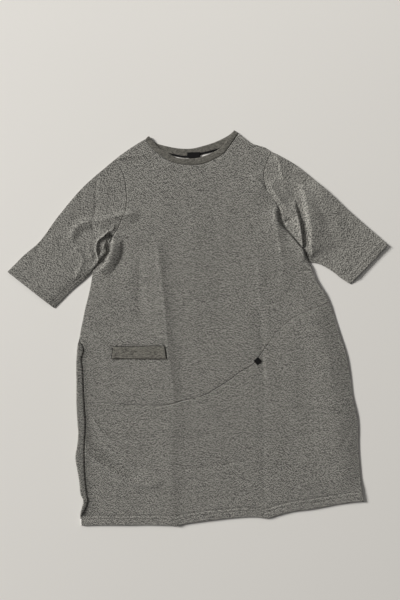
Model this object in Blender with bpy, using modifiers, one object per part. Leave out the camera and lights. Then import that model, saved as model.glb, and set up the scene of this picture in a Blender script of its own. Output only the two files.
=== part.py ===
"""Sweatshirt dress with elbow sleeves, laid flat on its back.

Metres, +Z up, +Y from the hem towards the neck, -X towards the wearer's right sleeve. The
origin is the bottom centre of the bounding box: the cloth lies on the plane z = 0. The tables
give places in millimetres in that frame; MM turns them into metres where a mesh is made.
Every cloth piece is a middle surface, lofted between its edges, that a Solidify modifier
turns into a wall.
"""

import math

import bpy
import numpy as np
from mathutils import Vector
from mathutils.bvhtree import BVHTree

MM = 0.001

CLOTH = 2.0  # sweatshirt cloth
RIB = 2.6  # neckband, two layers of rib
WELT = 3.0  # pocket welt, two layers of cloth
TRIM = 1.0  # tape and labels
SEAM_GAP = 0.35  # between pieces at a seam, and between layers
UNDERARM_GAP = 1.6  # where a sleeve's folded edge meets the side seam

# Heights of the middle surfaces
BACK_MID = CLOTH / 2
FRONT_MID = CLOTH * 1.5 + SEAM_GAP
ROLL_TOP = 5.5  # edge of the back where it is rolled over on to the front
SLEEVE_FOLD_TOP = 5.0  # front layer of a sleeve beside its folded edges
BAND_BACK_MID = RIB / 2
BAND_FRONT_MID = 5.6

# Segments of the grids
SHOULDER_SEGMENTS = 4
NECK_SEGMENTS = 16
ARMHOLE_SEGMENTS = 10  # of the wearer's right armhole
SLEEVE_SEGMENTS = 10
ARC_ANGLES = (90, 45, 0, -45, -90)  # round a folded edge, front layer to back layer
FLAP_COLUMNS = 3

# Corners
SHOULDER_RIGHT = (-207, 419)
SHOULDER_LEFT = (184, 439)
NECK_RIGHT = (-129.5, 471)
NECK_LEFT = (102, 485)
CUFF_RIGHT = ((-473.8, 140), (-359, 50))  # outer corner, inner corner
CUFF_LEFT = ((473.8, 207.5), (381, 110))

# The wearer's right side seam, underarm to hem: y, x of the outline, width rolled over
RIGHT_SIDE = (
    (142, -261, 0),
    (115, -265, 0),
    (85, -271, 0),
    (50, -280, 0),
    (20, -286, 0),
    (-10, -292, 0),
    (-32, -296, 0),
    (-42, -298, 8),
    (-55, -299.5, 15),
    (-80, -301, 9.5),
    (-95, -301.5, 14),
    (-140, -301, 15),
    (-187, -301, 18),
    (-235, -298.5, 19),
    (-260, -296.5, 16),
    (-290, -299, 17.5),
    (-320, -303.5, 22),
    (-350, -299, 17.5),
    (-380, -294, 15),
    (-410, -291, 15),
    (-428, -284, 8),
    (-454, -290, 6.5),
    (-468, -292, 0),
    (-492, -289, 0),
)
RIGHT_SIDE_UPPER = 12  # its segments above the curved seam

# The wearer's left side seam, underarm to hem: y, x of the outline
LEFT_SIDE = (
    (165, 276.5),
    (159, 280),
    (153, 284),
    (120, 296.5),
    (85, 319),
    (64, 329),
    (50, 335),
    (28, 342),
    (5, 349),
    (-28, 360),
    (-60, 370),
    (-110, 380),
    (-170, 387),
    (-230, 400),
    (-300, 401.5),
    (-370, 406.5),
    (-432, 414),
)
LEFT_SIDE_UPPER = 5

# Curves run smoothly through these points, x and y
RIGHT_ARMHOLE = (
    SHOULDER_RIGHT,
    (-192, 398),
    (-181, 370),
    (-176, 320),
    (-187, 273),
    (-208, 230),
    (-221, 195),
    (-239, 166),
    (-261, 142),
)
LEFT_ARMHOLE = (
    SHOULDER_LEFT,
    (172, 408),
    (165, 380),
    (168, 347),
    (188, 323),
    (203, 300),
    (209, 271),
    (226, 242),
    (247, 214),
    (264, 196),
    (276.5, 165),
)
BACK_ARMHOLE_EASE = 7  # the back armhole is straighter by this much at its middle
CURVED_SEAM = (
    (-219, -186),
    (-144, -192),
    (-81, -192),
    (-43, -182),
    (6, -170),
    (44, -152),
    (81, -128),
    (109, -107),
    (139, -89),
    (160, -61),
    (178, -36),
    (196, -10),
    (233, 23),
    (273, 43),
    (308, 56),
)
HEM = (
    (-244, -491),
    (-169, -490),
    (-94, -490),
    (-54, -493),
    (1, -482),
    (61, -475),
    (121, -470),
    (170, -474),
    (231, -457),
    (311, -445),
    (391, -432),
)
FRONT_NECKLINE = (
    NECK_RIGHT,
    (-104, 439),
    (-77, 420),
    (-31, 406.5),
    (15, 409),
    (62, 433),
    (80, 454),
    NECK_LEFT,
)
BACK_NECKLINE = (
    NECK_RIGHT,
    (-114, 455),
    (-94, 441),
    (-52, 430),
    (-26, 427.5),
    (9, 435),
    (59, 448),
    (81, 462),
    NECK_LEFT,
)
BAND_RIGHT_PEAK = (-121, 478)
BAND_LEFT_PEAK = (91, 492.5)
FRONT_BAND_EDGE = (
    BAND_RIGHT_PEAK,
    (-92, 446),
    (-54, 425),
    (-6, 421.5),
    (38, 437),
    (69, 461),
    BAND_LEFT_PEAK,
)
BACK_BAND_EDGE = (
    BAND_RIGHT_PEAK,
    (-104, 462),
    (-74, 453),
    (-14, 448),
    (46, 465),
    (76, 480),
    BAND_LEFT_PEAK,
)
SHOULDER_SEAM_RIGHT = (SHOULDER_RIGHT, (-179, 440), (-149, 460), NECK_RIGHT)
SHOULDER_SEAM_LEFT = (NECK_LEFT, (128, 464), (156, 453), SHOULDER_LEFT)
SLEEVE_TOP_RIGHT = (SHOULDER_RIGHT, (-284, 352), (-374, 250), CUFF_RIGHT[0])
SLEEVE_TOP_LEFT = (SHOULDER_LEFT, (226, 417.5), (316, 347.5), (406, 267.5), CUFF_LEFT[0])
SLEEVE_LOWER_RIGHT = ((-261, 142), (-314, 95), CUFF_RIGHT[1])
SLEEVE_LOWER_LEFT = ((276.5, 165), (301, 161), (331, 145), CUFF_LEFT[1])

# The largest folds of the front layer: height, half width, points along the crest
FOLDS = (
    (6, 17, ((-187, 286), (-265, 257), (-319, 237))),
    (5, 15, ((-218, 242), (-214, 205), (-230, 178))),
    (4, 16, ((-200, 250), (-250, 215), (-240, 170))),
    (7, 18, ((239, 380), (274, 290), (285, 207))),
    (5, 15, ((206, 317), (240, 280), (259, 242))),
    (5, 17, ((191, 292), (206, 195), (210, 90))),
    (3, 15, ((184, 439), (202, 400), (211, 370))),
    (2, 20, ((-124, 282), (-106, 128), (-74, -40), (-60, -187), (-54, -493))),
    (2, 20, ((146, 178), (156, 55), (164, -110), (170, -474))),
    (3, 18, ((-266, -300), (-204, -355), (-134, -383), (-64, -398))),
)
NECK_RISE = (1.7, 20)  # height and half width of the rise of the front at its neckline
ROLL_SPREAD = 18  # half width of the rise of the front beside the rolled edge

# Small pieces
WELT_CORNERS = ((-213, -76), (-77, -76), (-210, -47), (-81.5, -46))
WELT_GRID = (16, 4)
POCKET_MOUTH = (122, 2)  # cut in the front behind the top of the welt
POCKET_MOUTH_CENTRE = (-146, -50)
SEAM_LABEL_SIDE = 15
SEAM_LABEL_CENTRE = (149.5, -82)
SEAM_LABEL_LAY = 0.6  # over the fold of the panels beneath it
TAPE_WIDTH = 5
TAPE_REACH = (0.1, 0.9)  # share of the back neckline that it covers
NECK_LABEL_CORNERS = ((-26, 424.5), (6, 424.5), (-26, 437), (6, 438))

GREY = (0.166, 0.158, 0.145)
RIB_GREY = (0.13, 0.121, 0.107)
BLACK = (0.012, 0.012, 0.012)


def lengths_along(points):
    """Distance along a polyline at each of its points."""
    steps = np.linalg.norm(np.diff(points, axis=0), axis=1)
    return np.concatenate([[0], np.cumsum(steps)])


def curve_through(points, segments):
    """A Catmull-Rom curve through the points, cut into equal lengths."""
    points = np.array(points, float)
    padded = np.vstack([2 * points[0] - points[1], points, 2 * points[-1] - points[-2]])
    fine = []
    steps = np.linspace(0, 1, 24, endpoint=False)[:, None]
    for before, start, end, after in zip(padded, padded[1:], padded[2:], padded[3:]):
        slope_in = (end - before) / 2
        slope_out = (after - start) / 2
        t2 = steps**2
        t3 = steps**3
        fine.append(
            (2 * t3 - 3 * t2 + 1) * start
            + (t3 - 2 * t2 + steps) * slope_in
            + (3 * t2 - 2 * t3) * end
            + (t3 - t2) * slope_out
        )
    fine = np.vstack(fine + [points[-1:]])
    return at_lengths(fine, np.linspace(0, lengths_along(fine)[-1], segments + 1))


def at_lengths(points, lengths):
    """Points of a polyline at the given lengths along it."""
    along = lengths_along(points)
    return np.stack([np.interp(lengths, along, points[:, k]) for k in (0, 1)], axis=1)


def moved_left(points, distance):
    """A polyline moved to the left of its own direction."""
    along = np.gradient(points, axis=0)
    along /= np.linalg.norm(along, axis=1)[:, None]
    return points + distance * np.stack([-along[:, 1], along[:, 0]], axis=1)


def loft(bottom, top, left, right):
    """Coons patch between four edges, as rows from the bottom up and columns left to right."""
    left = left.copy()
    right = right.copy()
    left[0], left[-1] = bottom[0], top[0]
    right[0], right[-1] = bottom[-1], top[-1]
    u = (lengths_along(bottom) / lengths_along(bottom)[-1])[None, :, None]
    v = (lengths_along(left) + lengths_along(right))[:, None, None]
    v = v / v[-1]
    sides = (1 - u) * left[:, None] + u * right[:, None]
    ends = (1 - v) * bottom[None] + v * top[None]
    corners = (
        (1 - u) * (1 - v) * bottom[0]
        + u * (1 - v) * bottom[-1]
        + (1 - u) * v * top[0]
        + u * v * top[-1]
    )
    return sides + ends - corners


def distance_to(path, x, y):
    """Shortest distance in plan from each point to a polyline."""
    nearest = np.full(np.shape(x), np.inf)
    for (x0, y0), (x1, y1) in zip(path, path[1:]):
        dx = x1 - x0
        dy = y1 - y0
        t = np.clip(((x - x0) * dx + (y - y0) * dy) / (dx * dx + dy * dy), 0, 1)
        nearest = np.minimum(nearest, np.hypot(x - x0 - t * dx, y - y0 - t * dy))
    return nearest


def front_height(plan):
    """Height of the front layer's middle surface: the flat lay, plus each fold as a soft bump."""
    x = plan[..., 0]
    y = plan[..., 1]
    rolled = [(edge + wrap, row) for row, edge, wrap in RIGHT_SIDE if wrap]
    height = (ROLL_TOP - FRONT_MID) * np.exp(-((distance_to(rolled, x, y) / ROLL_SPREAD) ** 2))
    rise, width = NECK_RISE
    height = height + rise * np.exp(-((distance_to(FRONT_NECKLINE, x, y) / width) ** 2))
    for crest, width, path in FOLDS:
        height = height + crest * np.exp(-((distance_to(path, x, y) / width) ** 2))
    return FRONT_MID + height


def with_height(plan, height):
    """Plan points with a height, one value or one for each point."""
    return np.concatenate([plan, np.broadcast_to(height, plan.shape[:-1])[..., None]], axis=-1)


def back_armhole(front):
    """The front armhole moved outwards in its middle, away from the centre of the dress."""
    ease = BACK_ARMHOLE_EASE * np.sin(np.linspace(0, math.pi, len(front)))
    outwards = np.sign(front[0, 0])
    return front + np.stack([outwards * ease, np.zeros(len(front))], axis=1)


def side_edges(armhole_right, armhole_left, wrapped):
    """Both edges of a body panel from the hem up, the right one at its seam or its outline."""
    right = [(x + (wrap + SEAM_GAP if wrapped else 0), y) for y, x, wrap in RIGHT_SIDE]
    left = [(x, y) for y, x in LEFT_SIDE]
    right = np.vstack([np.array(right[::-1], float), armhole_right[::-1][1:]])
    left = np.vstack([np.array(left[::-1], float), armhole_left[::-1][1:]])
    return right, left


def body_grids(neckline, armhole_right, armhole_left, wrapped):
    """Lower and upper grids of a body panel, meeting at the curved seam."""
    segments = 2 * SHOULDER_SEGMENTS + NECK_SEGMENTS
    right, left = side_edges(armhole_right, armhole_left, wrapped)
    join = len(RIGHT_SIDE) - 1 - RIGHT_SIDE_UPPER
    assert join == len(LEFT_SIDE) - 1 - LEFT_SIDE_UPPER
    hem = curve_through([right[0], *HEM, left[0]], segments)
    seam = curve_through([right[join], *CURVED_SEAM, left[join]], segments)
    top = np.vstack(
        [
            curve_through(SHOULDER_SEAM_RIGHT, SHOULDER_SEGMENTS)[:-1],
            curve_through(neckline, NECK_SEGMENTS),
            curve_through(SHOULDER_SEAM_LEFT, SHOULDER_SEGMENTS)[1:],
        ]
    )
    below_seam = moved_left(seam, -SEAM_GAP) if wrapped else seam
    lower = loft(hem, below_seam, right[: join + 1], left[: join + 1])
    upper = loft(seam, top, right[join:], left[join:])
    return lower, upper


def back_surface(lower, upper):
    """The whole back, flat, with its right edge rolled up and over where the table says."""
    plan = np.concatenate([lower, upper[1:]])
    radius = (ROLL_TOP - BACK_MID) / 2
    tangent = CLOTH / 2 + radius
    wraps = [wrap for _, _, wrap in RIGHT_SIDE[::-1]]
    arc = np.radians(ARC_ANGLES[-2::-1])
    extra = len(arc) + FLAP_COLUMNS
    rows = []
    for row, points in enumerate(plan):
        wrap = wraps[row] if row < len(wraps) else 0
        inwards = points[1] - points[0]
        inwards = inwards / np.linalg.norm(inwards)
        if wrap:
            inwards = np.array([1.0, 0.0])
            flap = np.linspace(tangent, wrap - SEAM_GAP, FLAP_COLUMNS + 1)[1:]
            reach = np.concatenate([tangent - radius * np.cos(arc), flap])
            height = np.full(extra, ROLL_TOP)
            height[: len(arc)] = BACK_MID + radius * (1 + np.sin(arc))
        else:
            reach = tangent * (1 - np.arange(1, extra + 1) / extra)
            height = np.full(extra, BACK_MID)
        edge = with_height(points[0] + reach[::-1, None] * inwards, height[::-1])
        first = with_height((points[0] + tangent * inwards)[None], BACK_MID)
        rows.append(np.vstack([edge, first, with_height(points[1:], BACK_MID)]))
    return np.array(rows)


def sleeve_surface(armhole, armhole_behind, cuff, top, lower):
    """Rings of a flattened tube: front layer, folded lower edge, back layer, folded top edge."""
    segments = len(armhole) - 1
    outwards = np.sign(armhole[0, 0])
    end = curve_through(cuff, segments)
    top = curve_through(top, SLEEVE_SEGMENTS)
    lower = curve_through(lower, SLEEVE_SEGMENTS)
    layers = []
    for seam in (armhole, armhole_behind):
        clear = moved_left(seam, outwards * SEAM_GAP)
        clear[-1] = moved_left(seam, outwards * UNDERARM_GAP)[-1]
        layers.append(loft(clear, end, top, lower))
    radius = (SLEEVE_FOLD_TOP - BACK_MID) / 2
    angles = np.radians(ARC_ANGLES)
    inset = CLOTH / 2 + radius * (1 - np.cos(angles))
    around = BACK_MID + radius * (1 + np.sin(angles))
    rings = []
    for front, back in zip(*layers):
        front_length = lengths_along(front)[-1]
        back_length = lengths_along(back)[-1]
        share = (np.array(ARC_ANGLES) < 0)[:, None]
        lower_fold = np.where(
            share, at_lengths(back, back_length - inset), at_lengths(front, front_length - inset)
        )
        top_fold = np.where(share, at_lengths(back, inset), at_lengths(front, inset))
        rings.append(
            np.vstack(
                [
                    with_height(front[1:-1], front_height(front[1:-1])),
                    with_height(lower_fold, around),
                    with_height(back[1:-1][::-1], BACK_MID),
                    with_height(top_fold[::-1], around[::-1]),
                ]
            )
        )
    return np.array(rings)


def band_surface():
    """The neckband as a flat ring folded at both shoulders, in rows of seam, middle and edge."""
    radius = (BAND_FRONT_MID - BAND_BACK_MID) / 2
    inset = RIB / 2 + radius
    layers = []
    for seam, edge, level in (
        (FRONT_NECKLINE, FRONT_BAND_EDGE, BAND_FRONT_MID),
        (BACK_NECKLINE, BACK_BAND_EDGE, BAND_BACK_MID),
    ):
        outer = moved_left(curve_through(seam, NECK_SEGMENTS), SEAM_GAP)
        inner = curve_through(edge, NECK_SEGMENTS)
        lines = []
        for line in (outer, (outer + inner) / 2, inner):
            length = lengths_along(line)[-1]
            ends = at_lengths(line, np.array([inset, length - inset]))
            lines.append(with_height(np.vstack([ends[:1], line[1:-1], ends[1:]]), level))
        layers.append(np.stack(lines, axis=1))
    front, back = layers
    folds = []
    for tip, before in ((-1, -2), (0, 1)):
        middle = (front[tip] + back[tip])[:, :2] / 2
        away = (front[tip] - front[before])[:, :2]
        away = away / np.linalg.norm(away, axis=1)[:, None]
        fold = []
        for angle in np.radians(ARC_ANGLES[1:-1]):
            height = BAND_BACK_MID + radius * (1 + math.sin(angle))
            fold.append(with_height(middle + radius * math.cos(angle) * away, height))
        folds.append(np.array(fold))
    return np.concatenate([front, folds[0], back[::-1], folds[1][::-1]])


def make_material(name, colour, roughness):
    """A cloth material of one colour."""
    material = bpy.data.materials.new(name)
    material.use_nodes = True
    shader = material.node_tree.nodes["Principled BSDF"]
    shader.inputs["Base Color"].default_value = (*colour, 1)
    shader.inputs["Roughness"].default_value = roughness
    shader.inputs["Metallic"].default_value = 0
    return material


def make_wall(name, surface, thickness, material, closed_rows=False, closed_columns=False):
    """An object whose mesh is the grid of points, with a Solidify wall centred on it."""
    rows, columns = surface.shape[:2]
    index = np.arange(rows * columns).reshape(rows, columns)
    if closed_rows:
        index = np.vstack([index, index[:1]])
    if closed_columns:
        index = np.hstack([index, index[:, :1]])
    faces = np.stack([index[:-1, :-1], index[:-1, 1:], index[1:, 1:], index[1:, :-1]], axis=-1)
    mesh = bpy.data.meshes.new(name)
    mesh.from_pydata((surface * MM).reshape(-1, 3).tolist(), [], faces.reshape(-1, 4).tolist())
    mesh.materials.append(material)
    mesh.shade_smooth()
    obj = bpy.data.objects.new(name, mesh)
    wall = obj.modifiers.new("Wall", "SOLIDIFY")
    wall.thickness = thickness * MM
    wall.offset = 0
    return obj


def top_of(objects, plan):
    """Height in millimetres of the highest face of the objects under each plan point."""
    bpy.context.view_layer.update()
    graph = bpy.context.evaluated_depsgraph_get()
    trees = [BVHTree.FromObject(obj, graph) for obj in objects]
    heights = []
    for x, y in plan.reshape(-1, 2):
        start = Vector((x * MM, y * MM, 1))
        hits = [tree.ray_cast(start, Vector((0, 0, -1)))[0] for tree in trees]
        heights.append(max(hit.z for hit in hits if hit) / MM)
    return np.array(heights).reshape(plan.shape[:-1])


def four_sided(corners, columns, rows):
    """Bilinear grid between four corners: lower left, lower right, upper left, upper right."""
    lower_left, lower_right, upper_left, upper_right = np.array(corners, float)
    u = np.linspace(0, 1, columns + 1)[None, :, None]
    v = np.linspace(0, 1, rows + 1)[:, None, None]
    lower = (1 - u) * lower_left + u * lower_right
    upper = (1 - u) * upper_left + u * upper_right
    return (1 - v) * lower + v * upper


def cut_pocket_mouth(panel, cutters):
    """A slit through the front behind the upper edge of the welt."""
    length, width = POCKET_MOUTH
    bpy.ops.mesh.primitive_cube_add(size=1)
    cutter = bpy.context.object
    cutter.name = "pocket_mouth_cutter"
    cutter.location = Vector((*POCKET_MOUTH_CENTRE, FRONT_MID)) * MM
    cutter.scale = Vector((length, width, 4 * CLOTH)) * MM
    cutter.hide_render = True
    cutter.display_type = "WIRE"
    for owner in list(cutter.users_collection):
        owner.objects.unlink(cutter)
    cutters.objects.link(cutter)
    slit = panel.modifiers.new("Pocket mouth", "BOOLEAN")
    slit.operation = "DIFFERENCE"
    slit.object = cutter


def clear_scene():
    for obj in list(bpy.data.objects):
        bpy.data.objects.remove(obj)


def make_collection(name):
    collection = bpy.data.collections.new(name)
    bpy.context.scene.collection.children.link(collection)
    return collection


def main():
    clear_scene()
    dress = make_collection("sweatshirt_dress")
    cutters = make_collection("cutters")

    def add(obj):
        dress.objects.link(obj)
        return obj

    def cloth(name):
        return make_material(name, GREY, 0.9)

    armhole_right = curve_through(RIGHT_ARMHOLE, ARMHOLE_SEGMENTS)
    armhole_left = curve_through(
        LEFT_ARMHOLE, ARMHOLE_SEGMENTS + RIGHT_SIDE_UPPER - LEFT_SIDE_UPPER
    )
    behind_right = back_armhole(armhole_right)
    behind_left = back_armhole(armhole_left)

    lower, upper = body_grids(FRONT_NECKLINE, armhole_right, armhole_left, True)
    front_upper = with_height(upper, front_height(upper))
    front_lower = with_height(lower, front_height(lower))
    upper_panel = add(make_wall("front_upper", front_upper, CLOTH, cloth("front_upper")))
    lower_panel = add(make_wall("front_lower", front_lower, CLOTH, cloth("front_lower")))

    lower, upper = body_grids(BACK_NECKLINE, behind_right, behind_left, False)
    add(make_wall("back", back_surface(lower, upper), CLOTH, cloth("back")))

    sleeve = sleeve_surface(
        armhole_right, behind_right, CUFF_RIGHT, SLEEVE_TOP_RIGHT, SLEEVE_LOWER_RIGHT
    )
    add(make_wall("sleeve_right", sleeve, CLOTH, cloth("sleeve_right"), closed_columns=True))
    sleeve = sleeve_surface(
        armhole_left, behind_left, CUFF_LEFT, SLEEVE_TOP_LEFT, SLEEVE_LOWER_LEFT
    )
    add(make_wall("sleeve_left", sleeve, CLOTH, cloth("sleeve_left"), closed_columns=True))

    rib = make_material("neckband", RIB_GREY, 0.92)
    add(make_wall("neckband", band_surface(), RIB, rib, closed_rows=True))

    plan = four_sided(WELT_CORNERS, *WELT_GRID)
    lay = top_of([upper_panel], plan) + SEAM_GAP + WELT / 2
    rib = make_material("pocket_welt", RIB_GREY, 0.92)
    add(make_wall("pocket_welt", with_height(plan, lay), WELT, rib))
    cut_pocket_mouth(upper_panel, cutters)

    reach = SEAM_LABEL_SIDE / math.sqrt(2)
    x, y = SEAM_LABEL_CENTRE
    corners = ((x, y - reach), (x + reach, y), (x - reach, y), (x, y + reach))
    plan = four_sided(corners, 2, 2)
    lay = top_of([upper_panel, lower_panel], plan) + SEAM_LABEL_LAY + TRIM / 2
    black = make_material("seam_label", BLACK, 0.7)
    add(make_wall("seam_label", with_height(plan, lay), TRIM, black))

    seam = curve_through(BACK_NECKLINE, 2 * NECK_SEGMENTS)
    length = lengths_along(seam)[-1]
    first, last = TAPE_REACH
    middle = at_lengths(seam, np.linspace(first * length, last * length, NECK_SEGMENTS + 1))
    tape = np.stack([moved_left(middle, side * TAPE_WIDTH / 2) for side in (-1, 1)])
    tape_mid = RIB + SEAM_GAP + TRIM / 2
    black = make_material("neck_tape", BLACK, 0.8)
    add(make_wall("neck_tape", with_height(tape, tape_mid), TRIM, black))

    label = four_sided(NECK_LABEL_CORNERS, 2, 2)
    black = make_material("neck_label", BLACK, 0.7)
    add(make_wall("neck_label", with_height(label, tape_mid + TRIM + SEAM_GAP), TRIM, black))


main()
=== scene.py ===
"""Sweatshirt dress with elbow sleeves, laid flat on its back: the finished cloth, trims and stage.

Tables and surfaces are in millimetres, in the frame's own axes: +Z up, +Y from the hem to the
neck, -X towards the wearer's right sleeve, the floor at z = 0. MM turns them into metres where a
mesh is made. Every panel is a grid of points on its outer face; Solidify gives it a wall.
"""

import math

import bpy
import numpy as np
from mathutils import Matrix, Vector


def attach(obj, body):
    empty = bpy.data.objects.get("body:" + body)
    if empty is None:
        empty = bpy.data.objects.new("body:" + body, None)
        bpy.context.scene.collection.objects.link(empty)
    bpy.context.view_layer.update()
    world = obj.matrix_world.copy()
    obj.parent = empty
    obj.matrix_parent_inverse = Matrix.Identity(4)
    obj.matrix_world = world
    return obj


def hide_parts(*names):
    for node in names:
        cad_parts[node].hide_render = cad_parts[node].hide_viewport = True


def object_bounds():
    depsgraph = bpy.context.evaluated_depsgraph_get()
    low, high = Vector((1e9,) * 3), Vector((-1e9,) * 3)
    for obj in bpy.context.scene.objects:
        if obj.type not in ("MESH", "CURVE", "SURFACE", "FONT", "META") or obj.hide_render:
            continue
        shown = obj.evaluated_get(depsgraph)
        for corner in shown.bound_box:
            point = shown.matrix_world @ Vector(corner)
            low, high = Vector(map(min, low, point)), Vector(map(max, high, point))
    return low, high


bl_info = {
    "name": "Sweatshirt Dress Builder",
    "version": (1, 0, 0),
    "blender": (4, 5, 0),
    "location": "View3D > Sidebar > Dress",
    "description": "Makes a melange sweatshirt dress laid flat, piece by piece",
    "category": "Add Mesh",
}

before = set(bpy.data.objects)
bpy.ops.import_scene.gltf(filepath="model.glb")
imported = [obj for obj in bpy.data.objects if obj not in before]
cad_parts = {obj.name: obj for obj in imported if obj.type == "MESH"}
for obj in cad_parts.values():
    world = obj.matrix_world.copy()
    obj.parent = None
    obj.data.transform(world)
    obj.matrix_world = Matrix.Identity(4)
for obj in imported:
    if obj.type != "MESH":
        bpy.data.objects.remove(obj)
CAD_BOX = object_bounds()

MM = 0.001
SPAN_POINTS = 24  # points to each span of a smooth curve

# ---------------------------------------------------------------------------------------------
# Sizes of the lay
# ---------------------------------------------------------------------------------------------

CLOTH = 1.6
FRONT_TOP = 6.3  # outer face of the front layer where it lies flat
LOWEST_TOP = 3.7  # as low as a trough of the front layer may reach
SEAM_LEVEL = 3.0  # where front and back meet at a side seam
LOWEST_SLEEVE = LOWEST_TOP - 0.4  # the same beside a sleeve's seam, on the left slope and at the edges
LOWEST_SLOPE = SEAM_LEVEL + 0.3
LOWEST_EDGE = SEAM_LEVEL - 0.2
BACK_CURL = 2.7  # radius of the back's edge as it turns up to that seam
EDGE_ROUND = 2.0  # radius of the front as it turns down to it
TOP_ROUND = 0.9  # radius of the sleeves along their upper folds
LOWER_ROUND = 26.0  # width of the slope along the lower edges of the sleeves
LOWER_POWER = 1.3  # how that slope runs: 1 is straight
FOLD_MIDDLE = 2.4  # height of a sleeve's folded edges
FOLD_ROOM = 0.2  # least height between the layers of a turned cuff
BACK_EDGE_RISE = 0.7  # the back's edges rise by this at its armholes
BACK_EDGE_ROUND = 2.2
BACK_NECK_RISE = 0.6
HEM_RISE = 0.75  # turned hems are thicker by this
HEM_TURN = 1.7  # radius of the fold along a hem
HEM_DEPTH = 18.0
HEM_FADE = 4.0  # width over which that thickness ends
TURN_INSET = 2.8  # how far the turned part of a cuff stays inside the sleeve's folds
FRONT_TURN = (3.5, 0.85)  # level that the front's turned hem stays above, least radius of its fold
BACK_TURN = (3.4, 0.15)  # level that the back's stays below, and the same
CUFF_TURN_FRONT = 0.85  # least radii of the folds at the cuffs
CUFF_TURN_BACK = 0.6
STITCH_LINES = (16.0, 24.5)  # distances of the hem stitching above the folded edge
STITCH_DIP = (1.0, 1.2)  # depth and width of the groove under it
CUFF_STITCH = 14.0
CUFF_DIP = (0.45, 1.0)
CUFF_STITCH_ROW = 13.6  # the row of HEM_ROWS beside that groove
FACE_LIFT = 0.05  # of the stitches over the cloth, on the front's face and on the underside
BACK_LIFT = -0.25
STITCH_TIP = 0.12  # angle of the first ring of a stitch
CUFF_WIDTH = 150.0  # of one layer of a sleeve, for the cut of its hem

# The back's right edge, rolled over on to the front
ROLL_START = 7.0  # width over which the roll grows to its full height
ROLL_RADIUS = 3.6  # sideways and upwards radii of its outer bend
ROLL_RADIUS_UP = 6.4
ROLL_SEAM = 4.8  # height of the flap's edge, and of the front's edge under it
ROLL_FRONT = 4.6
ROLL_FRONT_ROUND = 1.2  # radius of the front's edge there
ROLL_BULGE = (3.2, 9.0)  # height and reach of the front's rise beside the roll
FLAP_SAG = (0.26, 14)  # share of the flap's drop that is even, and the power of the rest
FLAP_CROWD = 0.9  # how much closer together the flap's points are at its edge
FLAP_RISE = 0.1  # keeps the flap's points apart where nothing is rolled over
ARC_POINTS = 12  # to each bend
UNDERARM_ANGLE = math.radians(-50)  # where the back's edge stops curling up above the underarm

FAR = 1e3  # a distance past every hem
COARSE = 6  # distances are measured to every sixth point of a fine curve

# Distances from an edge that is rounded over, at which a grid has extra points
EDGE_STEPS = np.array([0.5, 1.2, 2.2, 3.6, 5.5])
HEM_ROWS = (0, 0.25, 0.85, 1.7, 3, 5, 8, 11, 13.6, 15.1, 16, 16.9, 18.4, 21, 23.6, 24.5, 25.4, 28, 32, 36)
TURNED_ROWS = (18, 14, 10, 6, 3, 1.7, 0.85, 0.25)

SHOULDER_COLUMNS = 50
NECK_COLUMNS = 122
BODY_COLUMNS = 2 * SHOULDER_COLUMNS + NECK_COLUMNS
UPPER_ROWS = 200
LOWER_ROWS = 92
BACK_ROWS = 150
BACK_COLUMN_SHARE = 0.62  # the hidden back has fewer columns
SLEEVE_ROWS = 138
SLEEVE_FRONT_COLUMNS = 134
SLEEVE_BACK_COLUMNS = 48
RING_BIAS = (0.45, 0.2)  # how far its rings' points crowd downwards, at the armhole and the cuff
HEM_SPAN = slice(8, -8)  # the columns between which the hem, back hem and cuff are stitched
BACK_SPAN = slice(34, -8)
CUFF_SPAN = slice(7, SLEEVE_FRONT_COLUMNS - 6)
CROWD_AT_ARMHOLE = 0.38  # how much closer together a sleeve's rings are at its armhole

# ---------------------------------------------------------------------------------------------
# Outline
# ---------------------------------------------------------------------------------------------

SHOULDER_RIGHT = (-207, 419)
SHOULDER_LEFT = (184, 439)
NECK_RIGHT = (-129.5, 471)
NECK_LEFT = (102, 485)
CUFF_RIGHT = ((-473.5, 140), (-420, 98), (-359, 50))
CUFF_LEFT = ((473.5, 207.5), (430, 160), (381, 110))

# The wearer's right side seam, underarm to hem: y, x of the outline, width rolled over
RIGHT_SIDE = (
    (142, -261, 0), (115, -265, 0), (85, -271, 0), (50, -280, 0), (20, -286, 0), (-10, -292, 0),
    (-32, -296, 3), (-42, -298, 12), (-55, -299.5, 18), (-80, -301, 12.5), (-95, -301.5, 17),
    (-140, -301, 18.5), (-187, -301, 21), (-235, -298.5, 21.5), (-260, -296.5, 18.5),
    (-290, -299, 19.5), (-320, -303.5, 24), (-350, -299, 19.5), (-380, -294, 17), (-410, -291, 17),
    (-428, -284, 12.5), (-454, -290, 9.5), (-468, -292, 3), (-492, -289, 0),
)
RIGHT_SIDE_JOIN = 12  # row where the curved seam starts

# The wearer's left side seam, underarm to hem: y, x of the outline
LEFT_SIDE = (
    (165, 276.5), (159, 280), (153, 284), (120, 296.5), (85, 319), (64, 329), (50, 335), (5, 349),
    (-60, 370), (-110, 380), (-170, 387), (-230, 400), (-300, 401.5), (-370, 406.5), (-432, 414),
)
LEFT_SIDE_JOIN = 5

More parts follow.
